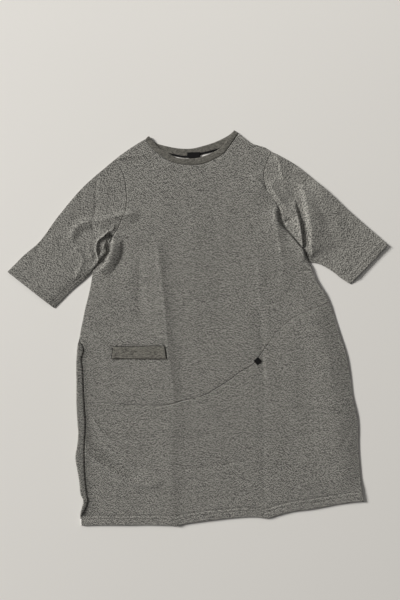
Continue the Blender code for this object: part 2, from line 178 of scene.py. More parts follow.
RIGHT_ARMHOLE = (
    SHOULDER_RIGHT, (-192, 398), (-182, 375), (-178, 348), (-176, 320), (-179, 293), (-187, 273),
    (-198, 247), (-211, 228), (-218, 204), (-226, 182), (-239, 166), (-250, 155), (-261, 142),
)
LEFT_ARMHOLE = (
    SHOULDER_LEFT, (176, 420), (168, 400), (165, 380), (168, 360), (174, 341), (188, 323),
    (203, 300), (209, 271), (215, 257), (226, 242), (239, 225), (250, 210), (264, 196), (270, 182),
    (276.5, 165),
)
BACK_ARMHOLE_EASE = 7  # the back's armholes reach out by this in their middle
CURVED_SEAM = (
    (-219, -186), (-192, -189), (-144, -192), (-81, -192), (-60, -187), (-43, -182), (6, -170),
    (44, -152), (81, -128), (109, -107), (139, -89), (160, -61), (178, -36), (196, -10), (210, 3.5),
    (233, 23), (253, 33.5), (273, 43), (308, 56),
)
HEM = (
    (-244, -490.5), (-169, -490), (-94, -490), (-66, -490.5), (-54, -492.8), (-40, -488), (1, -482),
    (61, -475), (121, -470), (150, -470.5), (170, -474), (190, -468), (231, -457), (270, -452),
    (311, -445), (351, -438), (391, -432.5),
)
FRONT_NECKLINE = (
    NECK_RIGHT, (-119, 455), (-104, 439), (-77, 420), (-54, 410), (-31, 406.5), (-6, 405.5),
    (15, 409), (41, 420), (64, 434), (80, 454), (91, 470), NECK_LEFT,
)
BACK_NECKLINE = (
    NECK_RIGHT, (-114, 455), (-94, 441), (-52, 430), (-26, 427.5), (9, 435), (59, 448), (81, 462),
    NECK_LEFT,
)
BAND_RIGHT_PEAK = (-121, 478)
BAND_LEFT_PEAK = (91, 492.5)
FRONT_BAND_EDGE = (
    BAND_RIGHT_PEAK, (-106, 460), (-92, 446), (-79, 439), (-54, 425), (-34, 422), (-6, 422.5),
    (13, 427), (38, 437), (56, 448), (69, 461), (78, 474), BAND_LEFT_PEAK,
)
BACK_BAND_EDGE = (
    BAND_RIGHT_PEAK, (-104, 462), (-74, 453), (-44, 448), (-14, 448), (16, 455), (46, 465),
    (76, 480), BAND_LEFT_PEAK,
)
SHOULDER_SEAM_RIGHT = (SHOULDER_RIGHT, (-179, 440), (-149, 460), NECK_RIGHT)
SHOULDER_SEAM_LEFT = (NECK_LEFT, (121, 470), (135, 460), (151, 455), (169, 449.5), SHOULDER_LEFT)
SLEEVE_TOP_RIGHT = (SHOULDER_RIGHT, (-284, 352), (-344, 282), (-391, 218), (-434, 180), CUFF_RIGHT[0])
SLEEVE_TOP_LEFT = (
    SHOULDER_LEFT, (226, 417.5), (256, 397.5), (316, 347.5), (376, 292.5), (436, 240), CUFF_LEFT[0],
)
SLEEVE_LOWER_RIGHT = ((-261, 142), (-284, 120), (-314, 95), (-344, 65), CUFF_RIGHT[2])
SLEEVE_LOWER_LEFT = ((276.5, 165), (301, 161), (331, 145), (361, 122), CUFF_LEFT[2])

# Seams of the front layer as grooves: share along the seam, how far in it is rounded, how deep
ARMHOLE_RIGHT_GROOVE = ((0, 2.0, 1.8), (0.6, 2.0, 1.9), (0.72, 2.6, 3), (0.8, 4, 8), (0.92, 4, 8), (1, 3, 4))
ARMHOLE_RIGHT_SLEEVE = ((0, 2.0, 1.8), (0.6, 2.0, 1.9), (0.7, 3, 3), (0.76, 7, 8), (0.9, 8, 8), (1, 4, 4))
ARMHOLE_LEFT_BODY = (
    (0, 2.0, 1.8), (0.47, 2.2, 2.0), (0.53, 8, 7), (0.57, 12, 9), (0.64, 7, 9), (0.72, 4, 7),
    (0.9, 4, 5), (1, 3, 2.5),
)
ARMHOLE_LEFT_SLEEVE = (
    (0, 2.0, 1.8), (0.47, 2.6, 2.0), (0.53, 5, 9), (0.64, 6, 11), (0.8, 5, 10), (0.93, 5, 7),
    (1, 4, 5),
)

# The body over the left sleeve at their seam: share along the armhole, width
BODY_OVERLAP = ((0, 0), (0.62, 0), (0.7, 2.5), (0.85, 2.5), (0.95, 1.5), (1, 0))

CURVED_SEAM_GROOVE = (
    (0, 2.2, 0.9), (0.09, 2.2, 1.1), (0.14, 3.0, 3.6), (0.33, 3.0, 3.6), (0.38, 2.2, 2.4),
    (0.70, 2.2, 2.4), (0.76, 2.2, 0.8), (0.85, 2.2, 0.9), (0.96, 2.2, 1.1), (1, 2.2, 0.4),
)
NECK_GROOVE = ((0, 3.0, 2.3), (1, 3.0, 2.3))

# ---------------------------------------------------------------------------------------------
# Folds and creases: height, width on the left of the path, width on its right, power of the
# profile, points along the crest. A negative height is a trough.
# ---------------------------------------------------------------------------------------------

SLEEVE_RIGHT_FOLDS = (
    (4.8, 18, 8, 1.3, ((-140, 285), (-179, 282), (-211, 275), (-244, 266), (-270, 265), (-295, 255),
         (-308, 239), (-311, 206))),
    (-1.4, 9, 9, 2, ((-232, 250), (-264, 243), (-290, 232), (-298, 206))),
    (-1.7, 5, 4, 1.2, ((-250, 372), (-253, 330), (-255, 290), (-262, 262), (-258, 238), (-250, 216))),
    (2.4, 4, 2.6, 1.4, ((-211, 262), (-207, 252), (-211, 244), (-222, 238), (-232, 228))),
    (5.6, 4, 2.6, 1.4, ((-218, 240), (-232, 228), (-246, 217), (-250, 204), (-250, 186), (-243, 164))),
    (1.8, 2.5, 2.5, 1.5, ((-229, 214), (-234, 196), (-241, 178))),
    (-0.7, 1.3, 1.3, 1.2, ((-244, 156), (-262, 146), (-289, 128), (-316, 106), (-344, 82), (-376, 52))),
    (1.3, 5, 5, 1.4, ((-371, 230), (-356, 216), (-342, 196))),
    (1.9, 6, 7, 1.4, ((-306, 206), (-284, 172), (-290, 150), (-308, 116))),
    (1.5, 4, 5, 1.4, ((-273, 210), (-266, 190), (-260, 166))),
    (-1.2, 12, 12, 2, ((-330, 270), (-380, 215), (-418, 150))),
    (1.2, 16, 16, 2, ((-290, 316), (-352, 250), (-398, 170))),
)
SLEEVE_LEFT_FOLDS = (
    (3.2, 13, 3, 1.2, ((190, 446), (198, 418), (204, 400), (210, 377), (212, 360))),
    (5.5, 13, 3.6, 1.3, ((170, 364), (182, 350), (196, 328), (217, 301), (235, 284), (246, 272))),
    (-2.0, 10, 10, 2, ((226, 366), (236, 338), (244, 310))),
    (-5.0, 3, 3.5, 1.5, ((207, 256), (222, 266), (238, 273))),
    (1.3, 6, 6, 1.4, ((356, 310), (348, 294), (338, 276))),
    (-1.2, 2.0, 2.0, 1.2, ((284, 178), (303, 174), (345, 152), (383, 126), (404, 110))),
    (-1.4, 13, 13, 2, ((262, 376), (300, 304), (340, 232))),
    (1.2, 17, 17, 2, ((300, 346), (345, 266), (372, 196))),
)
ARMPIT_FOLD = (
    1.2, 4, 5, 1.5, ((-222, 226), (-216, 214), (-209, 205), (-206, 196), (-211, 186), (-226, 168)),
)
ARMPIT_LEAN = -5.0  # how far the crest of that fold leans to the left of its path
BODY_FOLDS = (
    ARMPIT_FOLD,
    (-1.2, 2.5, 2.5, 1.5, ((-137, 390), (-125, 402), (-109, 392))),
    (1.6, 5, 4, 1.4, ((-203, 421), (-165, 427), (-122, 430))),
    (-1.2, 6, 6, 2, ((-196, 416), (-165, 412), (-138, 409))),
    (2.1, 16, 48, 1.15, ((-121, 300), (-121, 228), (-106, 212), (-101, 170), (-94, 120), (-87, 53),
         (-81, 30), (-74, -40), (-66, -110), (-57, -187), (-62, -262))),
    (2.2, 15, 48, 1.1, ((-57, -200), (-63, -255), (-62, -355), (-54, -570))),
    (-1.5, 12, 12, 2, ((-146, 210), (-146, 120), (-142, 10))),
    (3.6, 4, 10, 1.4, ((132, 384), (139, 377), (156, 362), (172, 344))),
    (2.0, 12, 4.4, 1.2, ((-112, 212), (-101, 206), (-96, 170), (-89, 120), (-82, 53), (-76, 26))),
    (1.7, 13, 40, 1.2, ((-84, 60), (-79, 30), (-73, -40), (-66, -110), (-57, -190))),
    (2.3, 9, 2.5, 1.3, ((191, 306), (188, 272), (193, 250), (198, 232), (204, 207), (208, 182))),
    (1.0, 9, 5, 1.3, ((204, 207), (208, 182), (211, 150), (209, 110))),
    (1.0, 26, 3.2, 1.2, ((147, 194), (150, 138), (153, 93), (157, 55), (160, 20))),
    (-1.8, 7, 15, 1.2, ((154, 62), (157, 30), (160, 0), (162, -55), (164, -130))),
    (-0.8, 4, 9, 1.3, ((165, -90), (166, -250), (170, -560))),
    (-1.1, 3, 3, 1.5, ((154, 97), (166, 88), (179, 80))),
    (-0.8, 7, 9, 1.5, ((408, -222), (375, -262), (340, -338))),
    (-1.5, 3.4, 4, 1.5, ((-42, -348), (10, -348), (50, -341), (90, -335), (124, -330))),
    (-0.9, 5, 5, 1.5, ((-42, -280), (20, -268), (86, -250))),
    (-0.8, 5, 5, 1.5, ((-30, -111), (24, -100))),
    (-3.6, 16, 9, 1.8, ((-278, -264), (-236, -305), (-200, -340), (-136, -378))),
    (4.0, 12, 9, 1.5, ((-290, -296), (-225, -350), (-170, -378), (-126, -388), (-84, -394))),
    (2.6, 5, 4, 1.3, ((-262, -222), (-240, -254), (-216, -277), (-190, -286), (-136, -297))),
    (1.9, 4, 5, 1.4, ((-264, -14), (-246, -24), (-226, -40), (-214, -52))),
    (1.0, 9, 4, 1.4, ((-258, -54), (-232, -66), (-221, -86), (-224, -114))),
    (-1.8, 10, 10, 2, ((-256, 12), (-212, -26))),
    (1.3, 5, 6, 1.5, ((-156, -8), (-115, -24), (-76, -42))),
    (1.0, 4, 4, 1.5, ((-68, -204), (-28, -229))),
    (1.0, 4, 4, 1.5, ((-70, -278), (-18, -293))),
    (-1.2, 16, 16, 2, ((40, 250), (60, 150), (52, 40))),
    (1.0, 20, 20, 2, ((0, 380), (10, 300), (-20, 200))),
    (0.7, 14, 14, 2, ((250, -60), (230, -160), (270, -260))),
    (-1.0, 14, 14, 2, ((200, -330), (300, -360), (380, -350))),
    (-0.9, 9, 9, 2, ((-10, -430), (90, -418), (190, -424))),
)
FRONT_FOLDS = SLEEVE_RIGHT_FOLDS + SLEEVE_LEFT_FOLDS + BODY_FOLDS

# Folds with a drawn cross-section: points of the path, distances to its left, and rows of heights
# at those distances, each with its share along the path
HOLLOW_RIGHT = (
    ((-213, 244), (-220, 217), (-221, 207), (-220, 190), (-229, 172), (-244, 154), (-260, 140)),
    (-90, -60, -38, -31, -26, -20, -11, -7.5, -5.5, 0, 4.5, 7, 10, 13, 20, 28, 33, 37, 46, 75),
    (
        (0.00, (0, 0, 0.3, 0.5, 0.6, 0.8, 1.0, 1.0, 0, -1.0, 0, 1.0, 1.6, 1.8, 1.4, 0.8, 0, -0.4, -0.2,
             0)),
        (0.20, (0, 0.2, 0.9, 1.2, 1.6, 1.8, 1.4, 1.0, 0.4, -1.6, -0.6, 1, 2.6, 3.4, 2.8, 1.4, -0.8,
             -1.6, -0.6, 0)),
        (0.36, (0, 0.2, 1.0, 1.3, 1.2, 2.2, 2.0, 1.2, -2, -3.6, -3.6, 0, 4.6, 5.4, 4.0, 1.8, -1.6,
             -2.8, -1.4, 0)),
        (0.56, (0, 0.2, 1.0, 1.3, -1.4, -1.4, 2.0, 1.4, 1.0, -3.4, 0, 3.4, 5.0, 5.2, 3.2, 0.4, -2.4,
             -2.6, -1.3, 0)),
        (0.78, (0, 0.2, 0.8, 1.0, 0.2, -0.4, 1.2, 1.0, 1.0, -3.6, -1, 2.6, 3.8, 3.8, 2.2, -0.4, -1.8,
             -1.8, -0.9, 0)),
        (1.00, (0, 0, 0.2, 0.4, 0.5, 0.4, 0.4, 0.4, 0, -2.6, 0, 1.0, 1.4, 1.4, 0.8, 0, -0.4, -0.4,
             -0.2, 0)),
    ),
)
CREVICE_LEFT = (
    ((233, 353), (245, 317), (250, 288), (256, 258), (260, 235), (262.5, 205), (266, 182), (269, 166)),
    (-45, -30, -20, -13, -9, -6, -3.5, -1.5, 0, 1.5, 4, 9, 13, 16, 19, 23, 34, 55, 80, 115),
    (
        (0.00, (0, 0, 0, 0, 0, -0.3, -0.6, -0.8, -0.8, -0.8, -0.8, -0.8, -0.4, 1.6, 5.8, 7.0, 6.2, 4.0,
             1.8, 0)),
        (0.17, (0, 0, 0, 0, 0, 0, -0.5, -1, -1.6, -1.6, -1.6, -1.8, -1.8, 0.6, 6.8, 9.4, 8.6, 5.4, 2.4,
             0)),
        (0.32, (0, 1.0, 2.0, 2.6, 3.0, 3.2, 2.6, 1.0, -1, -3, -2.4, -1.8, -1.4, 0.8, 7.2, 10.8, 9.8,
             6.0, 2.6, 0)),
        (0.47, (0, 0.6, 1.6, 2.4, 5.0, 8.2, 8.6, 3.0, -3, -3, -2.2, -1.2, -0.4, 1.6, 8.0, 11.2, 9.8,
             6.0, 2.6, 0)),
        (0.65, (0, 0.8, 2.2, 3.6, 5.0, 6.8, 7.8, 5.0, -3, -3, -1.8, -0.6, 0.8, 4.6, 10.2, 10.6, 9.0,
             5.4, 2.2, 0)),
        (0.81, (0, 0.8, 1.8, 3.0, 4.0, 4.8, 5.6, 4.6, -3, -2.6, -1.0, 0.2, 1.6, 4.6, 7.8, 7.6, 6.2,
             3.6, 1.4, 0)),
        (1.00, (0, 0, 1.0, 1.4, 1.6, 2.0, 2.0, 2.0, -2, -2, 0, 0.6, 1.2, 1.8, 2.2, 2.2, 1.6, 0.8, 0.4,
             0)),
    ),
)
ARMPIT_LEFT = (
    ((192, 318), (203, 300), (207, 280), (214, 258), (226, 242), (239, 225), (250, 210), (262, 196),
         (270, 180), (279, 164)),
    (-90, -55, -26, -17, -13, -7, -4, -1.8, 0, 1.8, 4, 8, 14, 22, 27, 40),
    (
        (0.00, (0, 0, 0, 0, 0, 0, 0, -1, -1.5, -1, 0, 0, 0, 0, 0, 0)),
        (0.12, (0, 0.3, 0.6, 0.9, 1.0, 0.6, 0, -2, -3, -2, -0.5, 0, 0, 0, 0, 0)),
        (0.24, (0, 0.9, 3.2, 5.6, 6.0, 3, -1.0, -3.6, -3.6, -3.6, -2, -2.0, -2.6, -2.6, -1, 0)),
        (0.34, (0, 0.9, 3.6, 6.4, 6.6, 3, -2.6, -3.6, -3.6, -3, 0.8, 0, -2, -3.0, -1.6, 0)),
        (0.43, (0, 0.7, 2.4, 3.8, 4.4, 4.2, 1, -3.6, -3.6, -3, 1.2, 0.6, -1, -1.6, 0, 0)),
        (0.55, (0, 0.4, 1.0, 1.6, 2.0, 3.6, 4.6, 0, -3.6, -3, 1.6, 1.6, 1.0, 0.4, 0.2, 0)),
        (0.72, (0, 0.3, 1.0, 1.8, 2.4, 4.4, 5.8, 2, -3.6, -2, 2.6, 2.6, 1.8, 0.8, 0.2, 0)),
        (1.00, (0, 0, 0.4, 0.8, 1.2, 2.0, 3.4, 1, -3, -2, 0.6, 0.8, 0.4, 0, 0, 0)),
    ),
)
WRINKLE_LEFT = (
    ((84, 375), (108, 358), (124, 349), (145, 340), (184, 326)),
    (-40, -22, -8, -2, 3, 9, 20),
    (
        (0.00, (0, 0, 0, 0, 0, 0, 0)),
        (0.30, (0, 0.5, 1.3, 1.7, 0.8, 0.2, 0)),
        (0.60, (0, 1.0, 2.6, 3.3, 1.5, 0.4, 0)),
        (0.84, (0, 0.6, 1.5, 1.9, 0.9, 0.2, 0)),
        (1.00, (0, 0.2, 0.6, 0.8, 0.3, 0.1, 0)),
    ),
)
DRAWN_FOLDS = (HOLLOW_RIGHT, CREVICE_LEFT, ARMPIT_LEFT, WRINKLE_LEFT)
DRAWN_FADE = 12  # length over which a drawn fold fades at its ends, and its growth sideways
DRAWN_SPREAD = 0.45
FOLD_REACH = 4  # the other folds end at this many widths, and fade over these at their ends
FOLD_FADE = 1.2

# The front towards the left side seam: distance from the seam, height
LEFT_SLOPE = ((0, -3.0), (8, -2.0), (20, 0), (34, 2.0), (48, 3.6), (66, 3.2), (100, 1.2), (160, 0))
SLOPE_TOP = (110, 90)  # where it ends below the underarm, and the length of its fade
SLOPE_HEM = (24, 40)  # the same above the hem

# Folds of the underside, pressed up from the floor
BACK_FOLDS = (
    (1.0, 10, 14, 2, ((-110, 300), (-96, 120), (-80, -40), (-62, -240), (-54, -560))),
    (0.8, 9, 12, 2, ((150, 230), (158, 60), (166, -120), (172, -560))),
    (1.0, 8, 10, 2, ((-196, 250), (-186, 214), (-205, 168))),
    (1.1, 8, 12, 2, ((196, 300), (205, 240), (214, 150))),
    (0.7, 6, 8, 2, ((-250, -210), (-190, -270), (-110, -292))),
    (0.6, 5, 6, 2, ((-20, -360), (60, -350), (140, -362))),
    (0.7, 10, 12, 2, ((250, -40), (300, -130), (330, -260))),
    (0.6, 7, 9, 2, ((-90, 380), (-20, 356), (60, 366))),
    (1.0, 8, 10, 2, ((-250, 300), (-300, 240), (-330, 170))),
    (1.0, 8, 10, 2, ((262, 350), (300, 280), (330, 200))),
)

# Soft unevenness of the lay: wavelength range, height, how many waves are added up
RIPPLES = (55, 190, 0.3, 26)
RIPPLE_SEED = 7

WELT_CORNERS = ((-213, -76), (-77, -76), (-210, -48), (-81.5, -45.5))
WELT_SIZE = (136, 29)
WELT_TOP = 2.3  # face of the welt over the front
WELT_ROUND = 1.4
WELT_PROUD = 0.5  # how much more its upper edge stands up
WELT_BASE = 0.15
WELT_UNDER = 1.2  # its turned layer lies this far under the base
WELT_WALL = 1.0
WELT_CELLS = (60, 20)
WELT_FADE = 12  # length over which it stands up at its ends
MOUTH_DEPTH = 2.6  # depth and width of the trough of the pocket mouth
MOUTH_WIDTH = 2.6
SEAM_LABEL_CENTRE = (149.5, -82)
SEAM_LABEL_SIDE = 15.0
SEAM_LABEL_THICK = 1.2
SEAM_LABEL_SUNK = 0.2
NECK_LABEL = ((-27, 424), (7, 424), (-26, 437.5), (6.5, 438.5))
NECK_LABEL_SIZE = (33, 13)
NECK_LABEL_THICK = 0.7
NECK_LABEL_BASE = 3.95
LABEL_CELLS = (16, 12)
LABEL_ROUND = 0.7
LABEL_WALL = 0.35  # share of a label's thickness that stands square at its edges
TAPE_WIDTH = 4.5
TAPE_REACH = (0.07, 0.93)  # shares of the back neckline between which the tape shows
TAPE_BASE = 3.35
TAPE_RISE = 0.5
SHADE_STRIP_RISE = 0.25  # of the strips of painted shade beside the welt
TAPE_POINTS = 90
RIBBON_WALL = 0.5

BAND_BACK_MIDDLE = 1.7
BAND_FRONT_MIDDLE = 5.6
BAND_THICK = 3.1
BAND_INSET = 0.8  # how far the folds at the shoulders stay inside the band's outline
BAND_POINTS = 150
BAND_SIDES = 36
BAND_POWERS = (0.6, 0.7)

FLOOR_REACH = 4000.0
FLOOR_LEVEL = -0.3

# ---------------------------------------------------------------------------------------------
# Looks, in metres
# ---------------------------------------------------------------------------------------------

# Stretches of darker and paler yarn: contrast, length, height, how far the pattern is shifted
YARN = (
    (3.2, 0.0018, 0.0013, (0, 0, 0)),
    (-0.65, 0.0018, 0.0013, (0.0025, 0, 0)),
    (-1.45, 0.0018, 0.0013, (0, 0.0025, 0)),
    (0.7, 0.0080, 0.0016, (0, 0, 0)),
)
LOOP_WANDER = 7  # in courses, and in lengths of a stretch
KNIT = (0.0016, 0.0013)  # width and height of a loop
RIB_PITCH = 0.0022
WEAVE_PITCH = 0.0009

AIM_SHIFT = (0.006, 0.07)  # from the middle of the dress to the middle of the view
KEY_LIGHT = ((-12.9, 5.6, 7.2), 4.0)  # place and width of the large soft light
TOP_LIGHT = ((0.3, 1.75, 1.6), 1.3)  # the same of the one beyond the neck
LIGHT_COLOUR = (1.0, 0.985, 0.96)
SKY_COLOUR = (1.0, 0.99, 0.975, 1)


# ---------------------------------------------------------------------------------------------
# Curves and grids
# ---------------------------------------------------------------------------------------------


def lengths_along(points):
    """Distance along a polyline at each of its points: the running sum of its steps."""
    steps = np.linalg.norm(np.diff(points, axis=0), axis=1)
    return np.concatenate([[0.0], np.cumsum(steps)])


def length_of(points):
    """Length of a polyline."""
    return lengths_along(points)[-1]


def at_lengths(points, lengths):
    """Points of a polyline at the given distances along it, by linear interpolation."""
    along = lengths_along(points)
    return np.stack([np.interp(lengths, along, column) for column in points.T], axis=1)


def smooth(points):
    """Catmull-Rom curve: each span is the Hermite cubic whose end slopes are half the chord
    between the neighbours of that end. It has SPAN_POINTS points to a span."""
    points = np.array(points, float)
    padded = np.vstack([2 * points[0] - points[1], points, 2 * points[-1] - points[-2]])
    before, start, end, after = padded[:-3], padded[1:-2], padded[2:-1], padded[3:]
    t = np.linspace(0, 1, SPAN_POINTS, endpoint=False)[:, None, None]
    spans = (
        (2 * t**3 - 3 * t**2 + 1) * start
        + (t**3 - 2 * t**2 + t) * (end - before) / 2
        + (3 * t**2 - 2 * t**3) * end
        + (t**3 - t**2) * (after - start) / 2
    )
    fine = spans.transpose(1, 0, 2).reshape(-1, points.shape[1])
    return np.vstack([fine, points[-1:]])


def spaced(length, segments, dense_start=False, dense_end=False):
    """Distances from 0 to length: EDGE_STEPS beside each dense end, and even steps between."""
    head = np.concatenate([[0.0], EDGE_STEPS]) if dense_start else np.zeros(1)
    tail = length - np.concatenate([[0.0], EDGE_STEPS])[::-1] if dense_end else np.full(1, length)
    middle = np.linspace(head[-1], tail[0], segments - len(head) - len(tail) + 3)
    return np.concatenate([head[:-1], middle, tail[1:]])


def edge(fine, segments, dense_start=False, dense_end=False, bias=0.0):
    """A fine polyline cut into segments, closer together beside its dense ends, and towards its
    end by the bias."""
    length = length_of(fine)
    stops = spaced(length, segments, dense_start, dense_end)
    inner = stops / length
    return at_lengths(fine, stops + bias * length * inner * (1 - inner) * np.sin(math.pi * inner))


def mix(first, second, share):
    """Linear blend: the first where the share is 0, the second where it is 1."""
    return first * (1 - share) + second * share


def bilinear(corners, u, v):
    """Points between four corners, lower left, lower right, upper left and upper right: the
    blend by u across, then by v up. Rows follow v, columns follow u."""
    lower_left, lower_right, upper_left, upper_right = np.array(corners, float)
    u = u.reshape(1, -1, 1)
    v = v.reshape(-1, 1, 1)
    return mix(mix(lower_left, lower_right, u), mix(upper_left, upper_right, u), v)


def coons(bottom, top, left, right):
    """Coons patch: the straight blend of left and right, plus that of bottom and top, less the
    bilinear blend of the four corners. Rows run bottom to top, columns left to right."""
    left = np.vstack([bottom[:1], left[1:-1], top[:1]])
    right = np.vstack([bottom[-1:], right[1:-1], top[-1:]])
    u = (lengths_along(bottom) / length_of(bottom))[None, :, None]
    v = (lengths_along(left) + lengths_along(right))[:, None, None]
    v = v / v[-1]
    corners = bilinear((bottom[0], bottom[-1], top[0], top[-1]), u, v)
    return mix(left[:, None], right[:, None], u) + mix(bottom[None], top[None], v) - corners


def nearest_on(path, x, y):
    """Signed distance to a polyline, positive on its left, the distance along it of the nearest
    point, and the unit normal to its left there: the least over its segments."""
    best = np.full(x.shape, np.inf)
    side = np.ones(x.shape)
    along = np.zeros(x.shape)
    normal = np.zeros(x.shape + (2,))
    for (x0, y0), (x1, y1), start in zip(path, path[1:], lengths_along(path)):
        dx, dy = x1 - x0, y1 - y0
        length = math.hypot(dx, dy)
        t = np.clip(((x - x0) * dx + (y - y0) * dy) / length**2, 0, 1)
        gap = np.hypot(x - x0 - t * dx, y - y0 - t * dy)
        closer = gap < best
        best = np.where(closer, gap, best)
        cross = dx * (y - y0) - dy * (x - x0)
        side = np.where(closer, np.where(cross < 0, -1.0, 1.0), side)
        along = np.where(closer, start + t * length, along)
        normal[closer] = (-dy / length, dx / length)
    return best * side, along, normal


def distance_to(line, plan):
    """Distance of each plan point from a fine curve."""
    return np.abs(nearest_on(line[::COARSE], plan[..., 0], plan[..., 1])[0])


def ease(value):
    """Smooth step from 0 to 1: 3t^2 - 2t^3 of the value held to that range."""
    t = np.clip(value, 0, 1)
    return t * t * (3 - 2 * t)


def quarter(distance, radius):
    """Height of a quarter circle over an edge, as a share of its radius: 0 at the edge, 1 inside."""
    t = 1 - np.clip(distance / radius, 0, 1)
    return np.sqrt(1 - t * t)


def soft_floor(height, lowest):
    """The greater of two heights with a soft corner: their mean plus half of a rounded gap."""
    gap = height - lowest
    return lowest + (gap + np.sqrt(gap * gap + 0.5)) / 2


def with_height(plan, height):
    """Plan points with a height, one value or one for each point."""
    return np.concatenate([plan, np.broadcast_to(height, plan.shape[:-1])[..., None]], axis=-1)


# ---------------------------------------------------------------------------------------------
# Heights
# ---------------------------------------------------------------------------------------------


def fold_profile(plan, left, right, power, points):
    """Which plan points a fold reaches, its profile there and the normal to its crest. The
    profile is exp(-|d/width|^power) of the distance d from the crest, and it fades over some
    widths at both ends."""
    x, y = plan[..., 0], plan[..., 1]
    fine = smooth(points)
    path = at_lengths(fine, np.linspace(0, length_of(fine), 8 * len(points)))
    reach = FOLD_REACH * max(left, right)
    low, high = path.min(axis=0) - reach, path.max(axis=0) + reach
    near = (x > low[0]) & (x < high[0]) & (y > low[1]) & (y < high[1])
    gap, along, normal = nearest_on(path, x[near], y[near])
    width = np.where(gap > 0, left, right)
    ends = np.minimum(along, length_of(path) - along)
    profile = np.exp(-(np.abs(gap / width) ** power)) * ease(ends / (FOLD_FADE * (left + right)))
    return near, profile, normal


def folded(plan, folds):
    """Height that the folds add up to at each plan point."""
    height = np.zeros(plan.shape[:-1])
    for crest, *form in folds:
        near, profile, _ = fold_profile(plan, *form)
        height[near] += crest * profile
    return height


def leaned(plan):
    """Plan points moved by the fold that leans: the square of its profile, along its normal."""
    near, profile, normal = fold_profile(plan, *ARMPIT_FOLD[1:])
    moved = plan.copy()
    moved[near] += ARMPIT_LEAN * (profile**2)[:, None] * normal
    return moved


def drawn(plan):
    """Height of the folds with a drawn cross-section: the table read at the signed distance from
    the path, blended between its rows by the share along the path, and faded at both ends."""
    height = np.zeros(plan.shape[:-1])
    for points, distances, rows in DRAWN_FOLDS:
        path = smooth(points)[::3]
        gap, along, _ = nearest_on(path, plan[..., 0], plan[..., 1])
        length = length_of(path)
        numbers = np.arange(len(rows))
        place_in = np.interp(along / length, [share for share, _ in rows], numbers)[..., None]
        weights = np.clip(1 - np.abs(place_in - numbers), 0, 1)
        values = np.stack([np.interp(gap, distances, heights) for _, heights in rows], axis=-1)
        ends = np.minimum(along, length - along)
        height += (values * weights).sum(-1) * ease(ends / (DRAWN_FADE + DRAWN_SPREAD * np.abs(gap)))
    return height


def ripples(plan):
    """Soft unevenness: a sum of cosines of chance direction, wavelength and phase, each as high
    as its wavelength's share, scaled so that the whole has the height in the table."""
    shortest, longest, height, count = RIPPLES
    chance = np.random.default_rng(RIPPLE_SEED)
    lengths = shortest * (longest / shortest) ** chance.random(count)
    angles = chance.random(count) * 2 * math.pi
    phases = chance.random(count) * 2 * math.pi
    turns = plan[..., 0, None] * np.cos(angles) + plan[..., 1, None] * np.sin(angles)
    weights = lengths / math.sqrt((lengths**2).sum() / 2)
    return height * (np.cos(turns * 2 * math.pi / lengths + phases) * weights).sum(-1)


def lay(plan):
    """Outer face of the front layer: flat, plus ripples and folds, never below LOWEST_TOP."""
    height = FRONT_TOP + ripples(plan) + folded(plan, FRONT_FOLDS) + drawn(plan)
    return soft_floor(height, LOWEST_TOP)


def grooved(height, plan, path, table):
    """The height rounded down towards a seam: less the depth times 1 - quarter(distance, radius),
    with radius and depth read from the table by the share along the seam."""
    gap, along, _ = nearest_on(path, plan[..., 0], plan[..., 1])
    share = along / length_of(path)
    shares, radii, depths = np.array(table, float).T
    radius = np.interp(share, shares, radii)
    depth = np.interp(share, shares, depths)
    return height - depth * (1 - quarter(np.abs(gap), radius))


def rounded(height, distance, radius, level):
    """The height brought down to a level at an edge, along a quarter of an ellipse."""
    return level + (height - level) * quarter(distance, radius)


def stitch_dip(distance, line, size):
    """Depth of the groove along a line of stitches: a bell curve of the given depth and width."""
    depth, width = size
    return depth * np.exp(-(((distance - line) / width) ** 2))


def hem_fold(distance, turned, room):
    """How far the cloth of a folded hem lies inside its outer face: along a half circle round
    the edge, whose far half is on the turned part. Room is the circle's radius."""
    sink = room * (1 - quarter(distance, HEM_TURN))[:, None]
    return np.where(turned[:, None], 2 * room - sink, sink)


# ---------------------------------------------------------------------------------------------
# Meshes
# ---------------------------------------------------------------------------------------------


def grid_faces(rows, columns, closed_rows=False, closed_columns=False, flip=False):
    """Quads between the neighbours of a grid of points, wrapped round where it is closed."""
    index = np.arange(rows * columns).reshape(rows, columns)
    if closed_rows:
        index = np.vstack([index, index[:1]])
    if closed_columns:
        index = np.hstack([index, index[:, :1]])
    faces = np.stack([index[:-1, :-1], index[:-1, 1:], index[1:, 1:], index[1:, :-1]], axis=-1)
    faces = faces.reshape(-1, 4)
    return faces[:, ::-1] if flip else faces


def outward(points, faces):
    """Faces turned so that the closed mesh holds a positive volume, by the sum of its
    tetrahedra to the origin."""
    p = points.reshape(-1, 3)
    a, b, c, d = (p[faces[:, k]] for k in range(4))
    volume = (a * (np.cross(b, c) + np.cross(c, d))).sum()
    return faces if volume > 0 else faces[:, ::-1]


def new_mesh(name, points, faces, uv=None):
    """A smooth-shaded mesh object from a grid of points in millimetres and an array of quads."""
    mesh = bpy.data.meshes.new(name)
    points = points.reshape(-1, 3) * MM
    mesh.vertices.add(len(points))
    mesh.vertices.foreach_set("co", points.astype(np.float32).ravel())
    mesh.loops.add(faces.size)
    mesh.loops.foreach_set("vertex_index", faces.astype(np.int32).ravel())
    mesh.polygons.add(len(faces))
    starts = np.arange(len(faces), dtype=np.int32) * faces.shape[1]
    mesh.polygons.foreach_set("loop_start", starts)
    mesh.update(calc_edges=True)
    mesh.validate()
    if uv is not None:
        layer = mesh.uv_layers.new(name="Cloth")
        layer.data.foreach_set("uv", (uv[faces.ravel()] * MM).astype(np.float32).ravel())
    mesh.shade_smooth()
    obj = bpy.data.objects.new(name, mesh)
    bpy.context.scene.collection.objects.link(obj)
    return obj


